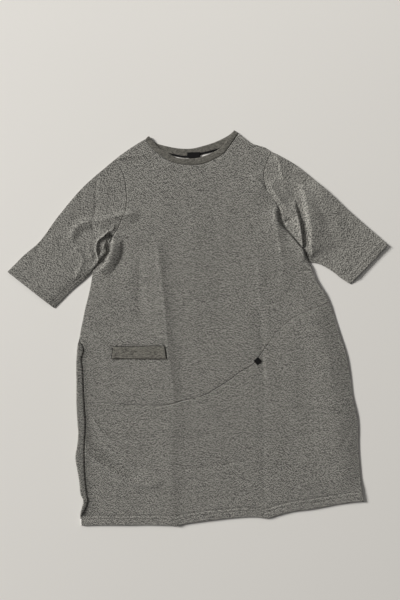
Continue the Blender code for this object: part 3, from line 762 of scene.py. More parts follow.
def place(obj, nodes, finishes):
    """Puts a finished piece on the body in place of its nodes, in its materials."""
    for finish in finishes:
        obj.data.materials.append(material(finish))
    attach(obj, "root")
    if nodes:
        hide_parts(*nodes)


def make_sheet(name, surface, thickness, slot, nodes, finishes, **form):
    """A piece from a grid of points on its outer face, with a wall inwards. The second finish is
    that of the wall's reverse side."""
    obj = new_mesh(name, surface, grid_faces(*surface.shape[:2], **form))
    wall = obj.modifiers.new("Wall", "SOLIDIFY")
    wall.thickness = thickness * MM
    wall.offset = -1
    wall.material_offset = len(finishes) - 1
    place(obj, nodes, finishes)
    return obj


def make_panel(node, surface, cloth, cut, area, rests_on, **form):
    """A cloth panel in place of its node, with the size of its cut in millimetres. Its area in square metres
    is not used."""
    finishes = [cloth, "cloth_reverse"]
    obj = make_sheet(f"dress_{node}", surface, CLOTH, "cloth", [node], finishes, **form)
    flat = (cut[0] * MM, cut[1] * MM)


def cut_area(plan):
    """Area of a plan grid in square metres, by the cross product of its cells' diagonals."""
    across = plan[1:, 1:] - plan[:-1, :-1]
    other = plan[1:, :-1] - plan[:-1, 1:]
    cross = across[..., 0] * other[..., 1] - across[..., 1] * other[..., 0]
    return float(np.abs(cross).sum()) / 2 * MM**2


# ---------------------------------------------------------------------------------------------
# Materials
# ---------------------------------------------------------------------------------------------


class Value:
    """A node's output in an expression: arithmetic on it adds Math nodes."""

    def __init__(self, shop, socket):
        self.shop = shop
        self.socket = socket

    def math(self, operation, *inputs):
        return self.shop.node("ShaderNodeMath", {"operation": operation}, dict(enumerate(inputs)))

    def __add__(self, other):
        return self.math("ADD", self, other)

    def __sub__(self, other):
        return self.math("SUBTRACT", self, other)

    def __rsub__(self, other):
        return self.math("SUBTRACT", other, self)

    def __mul__(self, other):
        return self.math("MULTIPLY", self, other)

    def __abs__(self):
        return self.math("ABSOLUTE", self)

    def sine(self):
        return self.math("SINE", self)

    def wave(self):
        """Sine of the value, moved to run from 0 to 1."""
        return self.sine() * 0.5 + 0.5

    def floor(self):
        return self.math("FLOOR", self)


class Shop:
    """The node tree of one material, with its shader and its output."""

    def __init__(self, name):
        self.material = bpy.data.materials.new(name)
        self.material.use_nodes = True
        self.tree = self.material.node_tree
        self.shader = self.tree.nodes["Principled BSDF"]

    def node(self, kind, settings, inputs, output=0):
        """Any node: its settings first, then the values or links of its sockets."""
        made = self.tree.nodes.new(kind)
        for name, value in settings.items():
            setattr(made, name, value)
        for key, value in inputs.items():
            self.feed(made.inputs[key], value)
        return Value(self, made.outputs[output])

    def feed(self, socket, value):
        """Links an output to a socket, or sets the socket's own value."""
        if isinstance(value, Value):
            self.tree.links.new(value.socket, socket)
        else:
            socket.default_value = value

    def finish(self, **inputs):
        """Feeds the shader's sockets, named with _ for a space, and gives the material."""
        for name, value in inputs.items():
            self.feed(self.shader.inputs[name.replace("_", " ")], value)
        return self.material

    def mapped(self, turn, scale, offset=(0, 0, 0)):
        """Object coordinates turned about Z by degrees, then scaled to pattern units."""
        place_of = self.node("ShaderNodeTexCoord", {}, {}, output="Object")
        turned = self.node(
            "ShaderNodeMapping",
            {"vector_type": "POINT"},
            {"Vector": place_of, "Rotation": (0, 0, -math.radians(turn)), "Location": offset},
        )
        return self.node("ShaderNodeVectorMath", {"operation": "MULTIPLY"}, {0: turned, 1: scale})

    def parts(self, vector):
        """The x and the y part of a vector."""
        x = self.node("ShaderNodeSeparateXYZ", {}, {0: vector})
        return x, Value(self, x.socket.node.outputs[1])

    def noise(self, vector, detail, roughness):
        """Noise from 0 to 1 with its features one unit apart."""
        inputs = {"Vector": vector, "Scale": 1.0, "Detail": detail, "Roughness": roughness}
        return self.node("ShaderNodeTexNoise", {"noise_dimensions": "3D"}, inputs)

    def chance(self, dimensions, **inputs):
        """A chance value from 0 to 1, a new one for each value of the input."""
        return self.node("ShaderNodeTexWhiteNoise", {"noise_dimensions": dimensions}, inputs)

    def loops(self, turn, length, height, shift):
        """A chance value for each stretch of a course: stretches of one length, each course
        shifted along by its own chance amount, the courses wandering gently up and down."""
        wander = self.noise(self.mapped(turn, (11, 16, 11)), 1.0, 0.5)
        x, y = self.parts(self.mapped(turn, (1 / length, 1 / height, 1), shift))
        row = (y + wander * LOOP_WANDER).floor()
        column = (x + self.chance("1D", W=row) * LOOP_WANDER).floor()
        return self.chance("2D", Vector=self.node("ShaderNodeCombineXYZ", {}, {0: column, 1: row}))

    def step(self, value, low, high):
        """Smooth step of a value from low to high, as a factor from 0 to 1."""
        settings = {"interpolation_type": "SMOOTHSTEP"}
        inputs = {"Value": value, "From Min": low, "From Max": high}
        return self.node("ShaderNodeMapRange", settings, inputs)

    def blend(self, factor, first, second):
        """Mix of two colours."""
        settings = {"data_type": "RGBA", "clamp_factor": True}
        return self.node("ShaderNodeMix", settings, {0: factor, 6: first, 7: second}, output=2)

    def bump(self, height, distance, strength, normal=None):
        """Bump of a height from 0 to 1 over a distance in metres."""
        inputs = {"Height": height, "Distance": distance, "Strength": strength}
        if normal:
            inputs["Normal"] = normal
        return self.node("ShaderNodeBump", {}, inputs)


def colour(rgb, share=1.0):
    """A colour with alpha, scaled by a share."""
    return tuple(channel * share for channel in rgb) + (1.0,)


def melange_cloth(name, turn, shade):
    """Knitted melange: short stretches of darker and paler yarn along the courses, speckle and a slow
    unevenness, over fine rows of knitting. The courses are turned by degrees about Z. The shade scales both
    colours; above 1 it paints the cloth lighter, as painted light."""
    looks = bpy.context.scene.dress_colours
    shop = Shop(name)
    speckle = shop.noise(shop.mapped(turn, (480, 800, 300), (0.7, 0.2, 0)), 1.0, 0.5)
    patches = shop.noise(shop.mapped(turn, (14, 20, 16), (0.2, 0.9, 0)), 2.0, 0.6)
    tone = (patches - 0.5) * 0.15 + (speckle - 0.5) * 0.5
    for weight, length, height, shift in YARN:
        tone = tone + (shop.loops(turn, length, height, shift) - 0.5) * weight
    base = shop.blend(tone + 0.5, colour(looks.dark_fibre, shade), colour(looks.pale_fibre, shade))
    flecks = shop.noise(shop.mapped(turn, (150, 700, 260), (0.4, 0.6, 0)), 2.0, 0.5)
    base = shop.blend(shop.step(flecks, 0.6, 0.7) * 0.4, base, colour(looks.fleck))
    across, down = shop.parts(shop.mapped(turn, (math.tau / KNIT[0], math.tau / KNIT[1], 1)))
    ridges = abs((across * 0.5).sine())
    loops = (down + ridges * 2.4).wave()
    rough = shop.bump(speckle, 0.0006, 0.3)
    return shop.finish(
        Base_Color=base,
        Roughness=0.92,
        Sheen_Weight=0.12,
        Sheen_Roughness=0.6,
        Normal=shop.bump(loops * 0.5 + ridges * 0.5, 0.00022, 0.15, rough),
    )


def reverse_cloth(name):
    """The pale reverse of the cloth: looped terry, as round bumps in rows."""
    looks = bpy.context.scene.dress_colours
    shop = Shop(name)
    rows = {"Vector": shop.mapped(0, (420, 560, 420)), "Scale": 1.0}
    loops = shop.node("ShaderNodeTexVoronoi", {"feature": "F1"}, rows)
    shade = shop.noise(shop.mapped(0, (60, 240, 60)), 3.0, 0.6)
    base = shop.blend(shade, colour(looks.reverse, 0.88), colour(looks.reverse, 1.08))
    pile = shop.bump(1 - loops, 0.0006, 0.6)
    return shop.finish(Base_Color=base, Roughness=0.95, Sheen_Weight=0.2, Normal=pile)


def rib_cloth(name, ribbed):
    """Rib: the body's melange in a browner shade, with upright ribs along the piece's own map."""
    looks = bpy.context.scene.dress_colours
    shop = Shop(name)
    fibres = shop.noise(shop.mapped(0, (150, 420, 260)), 3.0, 0.6)
    speckle = shop.noise(shop.mapped(0, (520, 700, 300), (0.5, 0.3, 0)), 1.0, 0.5)
    tone = shop.step(fibres * 2.2 + speckle * 1.6 - 1.4, -0.05, 1.05)
    base = shop.blend(tone, colour(looks.rib_dark), colour(looks.rib_pale))
    normal = shop.bump(speckle, 0.0005, 0.4)
    if ribbed:
        along, _ = shop.parts(shop.node("ShaderNodeUVMap", {"uv_map": "Cloth"}, {}))
        ribs = (along * (math.tau / RIB_PITCH)).wave()
        base = shop.blend(ribs * 0.35, base, colour(looks.rib_dark))
        normal = shop.bump(ribs, 0.0006, 0.5, normal)
    return shop.finish(Base_Color=base, Roughness=0.93, Sheen_Weight=0.1, Normal=normal)


def woven_trim(name, turn):
    """Black woven tape: a plain weave as crossed fine waves, turned by degrees about Z."""
    looks = bpy.context.scene.dress_colours
    shop = Shop(name)
    warp, weft = shop.parts(shop.mapped(turn, (math.tau / WEAVE_PITCH,) * 3))
    height = warp.sine() * weft.sine() * 0.5 + 0.5
    lint = shop.noise(shop.mapped(0, (900, 900, 900)), 2.0, 0.6)
    base = shop.blend(shop.step(lint, 0.55, 0.8) * 0.5, colour(looks.trim), colour(looks.trim, 2.6))
    weave = shop.bump(height, 0.0002, 0.5)
    return shop.finish(Base_Color=base, Roughness=0.8, Specular_IOR_Level=0.12, Normal=weave)


def sewing_thread(name):
    """Thread a shade darker than the cloth, twisted along its length."""
    looks = bpy.context.scene.dress_colours
    shop = Shop(name)
    twist = shop.noise(shop.mapped(30, (1500, 600, 900)), 1.0, 0.5)
    base = shop.blend(twist, colour(looks.thread, 0.75), colour(looks.thread, 1.2))
    return shop.finish(Base_Color=base, Roughness=0.65, Normal=shop.bump(twist, 0.0002, 0.4))


def floor_paint(name):
    """Matt paint in one pale colour, barely uneven."""
    looks = bpy.context.scene.dress_colours
    shop = Shop(name)
    shade = shop.noise(shop.mapped(0, (1.2, 1.2, 1.2)), 2.0, 0.5)
    base = shop.blend(shade, colour(looks.floor, 0.985), colour(looks.floor, 1.015))
    grain = shop.noise(shop.mapped(0, (300, 300, 300)), 2.0, 0.5)
    return shop.finish(Base_Color=base, Roughness=0.85, Normal=shop.bump(grain, 0.0002, 0.1))


# Materials by name: what makes them, and its settings
MATERIALS = {
    "cloth_body": (melange_cloth, 0, 1.0),
    "cloth_sleeve_right": (melange_cloth, -44, 1.0),
    # painted light: this sleeve's cloth is painted 14 per cent lighter, a lit copy of the same cloth
    # standing for the brighter light on that sleeve
    "cloth_sleeve_left": (melange_cloth, 52, 1.14),
    "cloth_reverse": (reverse_cloth,),
    "rib_neck": (rib_cloth, True),
    "rib_welt": (rib_cloth, False),
    "label_weave": (woven_trim, 45),
    "tape_weave": (woven_trim, 0),
    # painted shade: black trim that stands for the shadow in the pocket mouth and along the welt's edges
    "facing": (woven_trim, 0),
    "thread": (sewing_thread,),
    "floor_paint": (floor_paint,),
}


def material(name):
    """A material by name, made when it is first asked for."""
    found = bpy.data.materials.get(name)
    if found:
        return found
    maker, *settings = MATERIALS[name]
    return maker(name, *settings)


# ---------------------------------------------------------------------------------------------
# Panels
# ---------------------------------------------------------------------------------------------

# Points of the side curves, hem to underarm, where the curved seam starts
RIGHT_JOIN = (len(RIGHT_SIDE) - 1 - RIGHT_SIDE_JOIN) * SPAN_POINTS
LEFT_JOIN = (len(LEFT_SIDE) - 1 - LEFT_SIDE_JOIN) * SPAN_POINTS

# Each sleeve's armhole, upper fold, lower fold and cuff, and the groove of its seam
SLEEVES = {
    "sleeve_right": (
        RIGHT_ARMHOLE, SLEEVE_TOP_RIGHT, SLEEVE_LOWER_RIGHT, CUFF_RIGHT, ARMHOLE_RIGHT_SLEEVE,
    ),
    "sleeve_left": (
        LEFT_ARMHOLE, SLEEVE_TOP_LEFT, SLEEVE_LOWER_LEFT, CUFF_LEFT, ARMHOLE_LEFT_SLEEVE,
    ),
}


def left_of(line):
    """Unit normal to the left of a line at each of its points."""
    tangent = np.gradient(line, axis=0)
    tangent /= np.linalg.norm(tangent, axis=1)[:, None]
    return np.stack([-tangent[:, 1], tangent[:, 0]], axis=1)


def eased_armhole(front):
    """The back armhole: the front one moved outwards by a half sine of its length."""
    shift = BACK_ARMHOLE_EASE * np.sin(np.linspace(0, math.pi, len(front)))
    return front + np.stack([np.sign(front[0, 0]) * shift, np.zeros(len(front))], axis=1)


def overlapped(armhole):
    """The body's edge of the left armhole where it lies over the sleeve, moved to its left."""
    shares, widths = np.array(BODY_OVERLAP, float).T
    width = np.interp(lengths_along(armhole) / length_of(armhole), shares, widths)
    return armhole + width[:, None] * left_of(armhole)


class Edges:
    """The dress's edge curves, shared by the pieces so that the seams meet: side seams from the
    hem up, where the front's right one lies in from the outline by the width of the roll."""

    def __init__(self):
        self.outline_right = smooth([(x, y) for y, x, _ in RIGHT_SIDE[::-1]])
        self.seam_right = smooth([(x + wrap, y) for y, x, wrap in RIGHT_SIDE[::-1]])
        self.outline_left = smooth([(x, y) for y, x in LEFT_SIDE[::-1]])
        self.armhole_right = smooth(RIGHT_ARMHOLE)
        self.armhole_left = smooth(LEFT_ARMHOLE)
        self.body_armhole_left = overlapped(self.armhole_left)


def top_edge(neckline, shoulder, neck):
    """Shoulder seam, neckline and shoulder seam, in that many columns."""
    return np.vstack(
        [
            edge(smooth(SHOULDER_SEAM_RIGHT), shoulder, dense_start=True)[:-1],
            edge(smooth(neckline), neck),
            edge(smooth(SHOULDER_SEAM_LEFT), shoulder, dense_end=True)[1:],
        ]
    )


def side_and_armhole(side, armhole, below, rows):
    """A panel's edge from the curved seam up: the rest of the side seam, then the armhole, with
    a corner at the underarm. `below` rows are on the side seam."""
    lower = edge(side, below, dense_start=True)
    upper = edge(armhole[::-1], rows - below, dense_end=True)
    return np.vstack([lower, upper[1:]])


def band_plan(hem, right, left, distances):
    """Rows of a hem band at the given distances above its edge: the hem moved straight up, then
    drawn so that its ends lie on the side seams."""
    stops = np.array(distances, float)
    u = (lengths_along(hem) / length_of(hem))[None, :, None]
    straight = hem[None] + stops[:, None, None] * np.array([0.0, 1.0])
    ends = mix(at_lengths(right, stops)[:, None], at_lengths(left, stops)[:, None], u)
    return straight + ends - mix(straight[:, :1], straight[:, -1:], u)


def lower_plan(right, left, columns):
    """Plan of a lower panel: its turned rows, then its hem band and a patch up to the curved
    seam, which is its last row."""
    hem = edge(smooth([right[0], *HEM, left[0]]), columns, True, True)
    seam = edge(smooth([right[RIGHT_JOIN], *CURVED_SEAM, left[LEFT_JOIN]]), columns, True, True)
    band = band_plan(hem, right, left, HEM_ROWS)
    depth = HEM_ROWS[-1]
    sides = []
    for side, join in ((right, RIGHT_JOIN), (left, LEFT_JOIN)):
        stops = spaced(length_of(side[: join + 1]) - depth, LOWER_ROWS, dense_end=True)
        sides.append(at_lengths(side, depth + stops))
    main = coons(band[-1], seam, *sides)
    return band_plan(hem, right, left, TURNED_ROWS), np.concatenate([band, main[1:]])


def upper_plan(right, left, armholes, seam, top, rows):
    """Plan of an upper panel, from the curved seam to the shoulders and the neckline."""
    right_edge = side_and_armhole(right[RIGHT_JOIN:], armholes[0], rows // 2, rows)
    left_edge = side_and_armhole(left[LEFT_JOIN:], armholes[1], rows // 5, rows)
    return coons(seam, top, right_edge, left_edge)


def hem_distances(rows):
    """Distance of each row of a panel from its hem, FAR past the hem, and whether it is turned."""
    near = TURNED_ROWS + HEM_ROWS
    distance = np.concatenate([near, np.full(rows - len(near), FAR)])
    return distance, np.arange(rows) < len(TURNED_ROWS)


def hem_rise(distance, depth, lines, dip):
    """Extra height of the doubled cloth of a hem, less the dips under its lines of stitches."""
    rise = HEM_RISE * (1 - ease((distance - depth) / HEM_FADE))
    for line in lines:
        rise = rise - stitch_dip(distance, line, dip)
    return rise[:, None]


def roll_amount(side_y):
    """How far the back is rolled over at each height: the width, and its ease from 0 to 1."""
    rows = smooth([(y, wrap) for y, _, wrap in RIGHT_SIDE[::-1]])
    width = np.interp(side_y, rows[:, 0], np.maximum(rows[:, 1], 0))
    return width, ease(width / ROLL_START)


def body_edges(height, plan, lines):
    """The front's height rounded down at both side seams: on the right to the level of the
    rolled edge of the back, on the left, below its slope, to SEAM_LEVEL."""
    y = plan[..., 1]
    _, roll = roll_amount(y)
    gap = distance_to(lines.seam_right, plan)
    bulge, reach = ROLL_BULGE
    height = height + roll * bulge * np.exp(-gap / reach)
    radius = mix(EDGE_ROUND, ROLL_FRONT_ROUND, roll)
    height = rounded(height, gap, radius, mix(SEAM_LEVEL, ROLL_FRONT, roll))
    gap = distance_to(lines.outline_left, plan)
    distances, heights = np.array(LEFT_SLOPE, float).T
    fade = ease((SLOPE_TOP[0] - y) / SLOPE_TOP[1])
    fade = fade * ease((y - HEM[-1][1] - SLOPE_HEM[0]) / SLOPE_HEM[1])
    height = np.maximum(height + np.interp(gap, distances, heights) * fade, LOWEST_SLOPE)
    return rounded(height, gap, EDGE_ROUND, SEAM_LEVEL)


def make_front_lower(lines):
    """The front below the curved seam, with its hem turned in and stitched."""
    under, plan = lower_plan(lines.seam_right, lines.outline_left, BODY_COLUMNS)
    area = cut_area(under) + cut_area(plan)
    seam = smooth([plan[-1, 0], *CURVED_SEAM, plan[-1, -1]])
    plan = np.concatenate([under, plan])
    distance, turned = hem_distances(len(plan))
    height = lay(plan) + hem_rise(distance, HEM_DEPTH, STITCH_LINES, STITCH_DIP)
    height = grooved(height, plan, seam[::COARSE], CURVED_SEAM_GROOVE)
    height = body_edges(height, plan, lines)
    level, least = FRONT_TURN
    height = height - hem_fold(distance, turned, np.clip((height - level) / 2, least, HEM_TURN))
    surface = with_height(plan, height)
    make_panel("front_lower", surface, "cloth_body", (706, 565), area, ["back"])
    return surface


def mouth_dip(plan):
    """The pocket mouth: a narrow trough in the front behind the welt's upper edge."""
    upper = np.array(WELT_CORNERS[2:], float) + np.array([[1, 0.6], [-1, 0.6]])
    gap, _, _ = nearest_on(upper, plan[..., 0], plan[..., 1])
    return MOUTH_DEPTH * np.exp(-((gap / MOUTH_WIDTH) ** 2))


def make_front_upper(lines):
    """The front above the curved seam, with the grooves of its seams and of the pocket mouth."""
    _, lower = lower_plan(lines.seam_right, lines.outline_left, BODY_COLUMNS)
    seam = lower[-1]
    top = top_edge(FRONT_NECKLINE, SHOULDER_COLUMNS, NECK_COLUMNS)
    armholes = (lines.armhole_right, lines.body_armhole_left)
    plan = upper_plan(lines.seam_right, lines.outline_left, armholes, seam, top, UPPER_ROWS)
    height = lay(plan) - mouth_dip(plan)
    for path, groove in (
        (seam[::3], CURVED_SEAM_GROOVE),
        (smooth(FRONT_NECKLINE)[::COARSE], NECK_GROOVE),
        (lines.armhole_right[::COARSE], ARMHOLE_RIGHT_GROOVE),
        (lines.body_armhole_left[::COARSE], ARMHOLE_LEFT_BODY),
    ):
        height = grooved(height, plan, path, groove)
    for shoulder in (SHOULDER_SEAM_RIGHT, SHOULDER_SEAM_LEFT):
        height = rounded(height, distance_to(smooth(shoulder), plan), EDGE_ROUND, SEAM_LEVEL)
    height = soft_floor(body_edges(height, plan, lines), LOWEST_EDGE)
    surface = with_height(leaned(plan), height)
    make_panel("front_upper", surface, "cloth_body", (640, 690), cut_area(plan), ["back"])


def curled(height, plan, line, radius, level):
    """The height of the back turned up to a level at an edge, along a quarter of an ellipse."""
    return np.maximum(height, level * (1 - quarter(distance_to(line, plan), radius)))


def rolled_edge(plan):
    """The back's right edge in place of its first columns: their plan and height. The profile
    across it is an arc up from the floor, which goes on past the vertical as the roll grows, and
    a flap that sags. Its points run from the flap's edge inwards."""
    foot = plan[:, 0]
    inwards = plan[:, len(EDGE_STEPS)] - foot
    inwards /= np.linalg.norm(inwards, axis=1)[:, None]
    under_arm = foot[:, 1:] > RIGHT_SIDE[0][0]
    width, roll = (np.where(under_arm, 0, value[:, None]) for value in roll_amount(foot[:, 1]))
    inwards = mix(inwards, np.array([1.0, 0.0]), roll)
    radius, radius_up, seam_height = (
        mix(BACK_CURL, size, roll) for size in (ROLL_RADIUS, ROLL_RADIUS_UP, ROLL_SEAM)
    )

    last_angle = np.where(under_arm, UNDERARM_ANGLE, roll * math.pi / 2)
    angle = mix(-math.pi / 2, last_angle, np.linspace(0, 1, ARC_POINTS))
    arc_reach = radius * (np.cos(np.minimum(last_angle, 0)) - np.cos(angle))
    arc_height = radius_up * (1 + np.sin(angle))

    even = np.linspace(0, 1, ARC_POINTS)[1:]
    t = even + roll * even * (1 - even) * FLAP_CROWD
    tip, top = arc_reach[:, -1:], arc_height[:, -1:]
    flap_reach = mix(tip, np.maximum(width, tip), t)
    steady, power = FLAP_SAG
    drop = (top - seam_height) * roll * mix(t**power, t, steady)
    flap_height = top - drop + FLAP_RISE * t * (1 - roll)

    reach = np.concatenate([arc_reach, flap_reach], axis=1)[:, ::-1, None]
    height = np.concatenate([arc_height, flap_height], axis=1)[:, ::-1]
    return foot[:, None] + reach * inwards[:, None], height


def make_back(lines):
    """The back: flat on the floor, its edges turned up to the seams, its right edge rolled over
    on to the front, and its hem turned in."""
    columns = int(BODY_COLUMNS * BACK_COLUMN_SHARE)
    shoulder = int(SHOULDER_COLUMNS * BACK_COLUMN_SHARE)
    sides = (lines.outline_right, lines.outline_left)
    armholes = (eased_armhole(lines.armhole_right), eased_armhole(lines.armhole_left))
    under, lower = lower_plan(*sides, columns)
    top = top_edge(BACK_NECKLINE, shoulder, columns - 2 * shoulder)
    upper = upper_plan(*sides, armholes, lower[-1], top, BACK_ROWS)
    plan = np.concatenate([under, lower, upper[1:]])

    flat = soft_floor(np.zeros(1), 0.0)
    height = np.maximum(soft_floor(folded(plan, BACK_FOLDS), 0.0) - flat, 0)
    for line, radius, level in (
        (armholes[0], BACK_EDGE_ROUND, BACK_EDGE_RISE),
        (armholes[1], BACK_EDGE_ROUND, BACK_EDGE_RISE),
        (smooth(BACK_NECKLINE), BACK_EDGE_ROUND, BACK_NECK_RISE),
        (smooth(SHOULDER_SEAM_RIGHT), BACK_CURL, BACK_CURL),
        (smooth(SHOULDER_SEAM_LEFT), BACK_CURL, BACK_CURL),
        (lines.outline_left, BACK_CURL, BACK_CURL),
    ):
        height = curled(height, plan, line, radius, level)

    first = len(EDGE_STEPS)
    edge_plan, edge_height = rolled_edge(plan)
    height = np.concatenate([edge_height, height[:, first:]], axis=1)
    distance, turned = hem_distances(len(plan))
    level, least = BACK_TURN
    height = height + hem_fold(distance, turned, np.clip((level - height) / 2, least, HEM_TURN))
    surface = with_height(np.concatenate([edge_plan, plan[:, first:]], axis=1), height)
    make_panel("back", surface, "cloth_body", (712, 980), cut_area(plan), ["floor"], flip=True)
    return surface


def fold_stops(line):
    """Distances of a sleeve's rings along one of its folds: closer together at the armhole, and
    as HEM_ROWS at the cuff."""
    length = length_of(line)
    main = spaced(length - HEM_ROWS[-1], SLEEVE_ROWS, dense_start=True)
    main = main * mix(1 - CROWD_AT_ARMHOLE, 1, main / main[-1])
    return np.concatenate([main[:-1], length - np.array(HEM_ROWS[::-1], float)])


def rows_between(grid, at, wanted):
    """Rows of a grid at the wanted places, by linear interpolation between its own."""
    weights = np.stack([np.interp(wanted, at, own) for own in np.eye(len(at))], axis=1)
    return np.tensordot(weights, grid, 1)


def sleeve_front(plan, from_top, from_lower, distance, armhole, groove):
    """Height of a sleeve's front layer, which ends at FOLD_MIDDLE along both folds."""
    rise = hem_rise(distance, CUFF_STITCH + 2, [CUFF_STITCH], CUFF_DIP)
    height = grooved(lay(plan) + rise, plan, armhole[::COARSE], groove)
    height = soft_floor(height, LOWEST_SLEEVE)
    slope = 1 - (1 - np.clip(from_lower / LOWER_ROUND, 0, 1)) ** LOWER_POWER
    return mix(FOLD_MIDDLE, height, quarter(from_top, TOP_ROUND) * slope)


def sleeve_back(plan, from_top, from_lower, armhole):
    """Height of a sleeve's back layer, which ends at FOLD_MIDDLE along both folds."""
    height = np.maximum(folded(plan, BACK_FOLDS), 0)
    height = curled(height, plan, armhole, BACK_EDGE_ROUND, BACK_EDGE_RISE)
    edges = quarter(from_top, FOLD_MIDDLE) * quarter(from_lower, FOLD_MIDDLE)
    return mix(FOLD_MIDDLE, height, edges)


def make_sleeve(side):
    """A sleeve as rings of a flattened tube, from the armhole to the cuff: front layer, lower
    fold, back layer and upper fold, with the cuff turned in as the hem is."""
    *curves, groove = SLEEVES[side]
    armhole, top, lower, cuff = (smooth(points) for points in curves)
    behind = eased_armhole(armhole)
    folds = [at_lengths(line, fold_stops(line)) for line in (top, lower)]
    area = 2 * HEM_DEPTH * CUFF_WIDTH * MM**2
    layers = []
    for seam, columns in ((armhole, SLEEVE_FRONT_COLUMNS), (behind, SLEEVE_BACK_COLUMNS)):
        start = edge(seam, columns, True, True, bias=RING_BIAS[0])
        end = edge(cuff, columns, True, True, bias=RING_BIAS[1])
        plan = coons(start, end, *folds)
        area += cut_area(plan)
        turned_rows = rows_between(plan[::-1][: len(HEM_ROWS)], HEM_ROWS, TURNED_ROWS[::-1])
        plan = np.concatenate([plan, turned_rows])
        distance, turned = (values[::-1] for values in hem_distances(len(plan)))

        at_top, at_lower = plan[:, :1].copy(), plan[:, -1:].copy()
        middle = (at_top + at_lower) / 2
        half = np.linalg.norm(at_top - middle, axis=-1, keepdims=True)
        inset = turned * TURN_INSET * ease(distance / HEM_TURN)
        plan = middle + (plan - middle) * (1 - inset[:, None, None] / half)
        from_top = np.linalg.norm(plan - at_top, axis=-1)
        from_lower = np.linalg.norm(plan - at_lower, axis=-1)

        if seam is armhole:
            height = sleeve_front(plan, from_top, from_lower, distance, armhole, groove)
            room = np.clip((height - FOLD_MIDDLE - FOLD_ROOM) / 2, CUFF_TURN_FRONT, HEM_TURN)
            layers.append(with_height(leaned(plan), height - hem_fold(distance, turned, room)))
        else:
            height = sleeve_back(plan, from_top, from_lower, behind)
            room = np.clip((FOLD_MIDDLE - FOLD_ROOM - height) / 2, CUFF_TURN_BACK, HEM_TURN)
            layers.append(with_height(plan, height + hem_fold(distance, turned, room)))
    front, back = layers
    surface = np.concatenate([front, back[:, -2:0:-1]], axis=1)
    form = {"closed_columns": True, "flip": side == "sleeve_right"}
    make_panel(side, surface, f"cloth_{side}", (590, 400), area, ["floor"], **form)
    return surface


# ---------------------------------------------------------------------------------------------
# Trims
# ---------------------------------------------------------------------------------------------


def band_loop(front_points, back_points):
    """One edge of the neckband as a closed loop: along the front, round the fold at the left
    shoulder, along the back and round the fold at the right one. The folds are half circles."""
    radius = (BAND_FRONT_MIDDLE - BAND_BACK_MIDDLE) / 2
    inset = radius + BAND_INSET
    layers = []
    for points, level in ((front_points, BAND_FRONT_MIDDLE), (back_points, BAND_BACK_MIDDLE)):
        line = smooth(points)
        stops = np.linspace(inset, length_of(line) - inset, BAND_POINTS)
        layers.append(with_height(at_lengths(line, stops), level))
    front, back = layers
    angles = np.linspace(math.pi / 2, -math.pi / 2, ARC_POINTS)[1:-1, None]
    folds = []
    for tip, before in ((-1, -2), (0, 1)):
        away = front[tip] - front[before]
        away = away / np.linalg.norm(away)
        middle = (front[tip] + back[tip]) / 2
        gap = (front[tip] - back[tip]) / 2
        folds.append(middle + radius * np.cos(angles) * away + np.sin(angles) * gap)
    return np.concatenate([front, folds[0], back[::-1], folds[1][::-1]])


def make_neckband():
    """A tube of flattened section carried round the neck and folded over at both shoulders. The
    section is a superellipse, half the band's width by half its thickness: the cosine and the
    sine to the powers in BAND_POWERS, each with its own sign."""
    outer = band_loop(FRONT_NECKLINE, BACK_NECKLINE)
    inner = band_loop(FRONT_BAND_EDGE, BACK_BAND_EDGE)
    centre = (outer + inner) / 2
    half = (inner - outer) / 2
    normal = np.cross(np.roll(centre, -2, axis=0) - np.roll(centre, 2, axis=0), half)
    normal /= np.linalg.norm(normal, axis=1)[:, None]
    normal *= np.sign(normal[BAND_POINTS // 2, 2])
    theta = np.linspace(0, math.tau, BAND_SIDES, endpoint=False)
    wide, thick = (
        (np.sign(wave) * np.abs(wave) ** power)[:, None]
        for wave, power in zip((np.cos(theta), np.sin(theta)), BAND_POWERS)
    )
    points = centre[:, None] + wide * half[:, None] + thick * normal[:, None] * BAND_THICK / 2
    across = np.linalg.norm(half, axis=1)[:, None] * wide[:, 0]
    along = np.broadcast_to(lengths_along(centre)[:, None], across.shape)
    uv = np.stack([along, across], axis=-1).reshape(-1, 2)
    faces = grid_faces(*points.shape[:2], closed_rows=True, closed_columns=True)
    band = new_mesh("dress_neckband", points, outward(points, faces), uv)
    place(band, ["neckband"], ["rib_neck"])


def make_welt():
    """The pocket welt: a doubled strip, sewn down along its lower edge and both ends, whose upper
    edge is folded over and stands a little proud of the pocket mouth."""
    width, length = WELT_SIZE
    u = spaced(width, WELT_CELLS[0], dense_start=True, dense_end=True) / width
    v = spaced(length, WELT_CELLS[1], dense_start=True) / length
    plan = bilinear(WELT_CORNERS, u, v)
    from_ends = width / 2 - np.abs(u * width - width / 2)
    rise = quarter(from_ends, WELT_ROUND) * quarter(v * length, WELT_ROUND)[:, None]
    proud = WELT_PROUD * ease((v - 0.5) / 0.5)[:, None] * ease(from_ends / WELT_FADE)
    face = lay(plan) + WELT_BASE + WELT_TOP * rise + proud
    rows = [with_height(plan, face)]
    for angle in np.radians([30, 60, 90, 120, 150, 180]):
        shift = np.array([0, WELT_ROUND * math.sin(angle)])
        drop = WELT_ROUND * (1 - math.cos(angle))
        rows.append(with_height(plan[-1:] + shift, face[-1:] - drop * rise[-1:]))
    rows.append(with_height(plan[-3:-1][::-1], face[-1:] - (WELT_TOP + WELT_UNDER) * rise[-1:]))
    surface = np.concatenate(rows)
    make_sheet("dress_pocket_welt", surface, WELT_WALL, "rib", ["pocket_welt"], ["rib_welt"])


def make_ribbon(name, middle, width, base, rise, nodes, finish):
    """A narrow arched strip along a middle line, with a closed wall."""
    across = np.linspace(-1, 1, 11)
    plan = middle[:, None] + across[:, None] * left_of(middle)[:, None] * width / 2
    surface = with_height(plan, np.reshape(base, (-1, 1)) + rise * (1 - across**4))
    make_sheet(name, surface, RIBBON_WALL, "trim", nodes, [finish], flip=True)


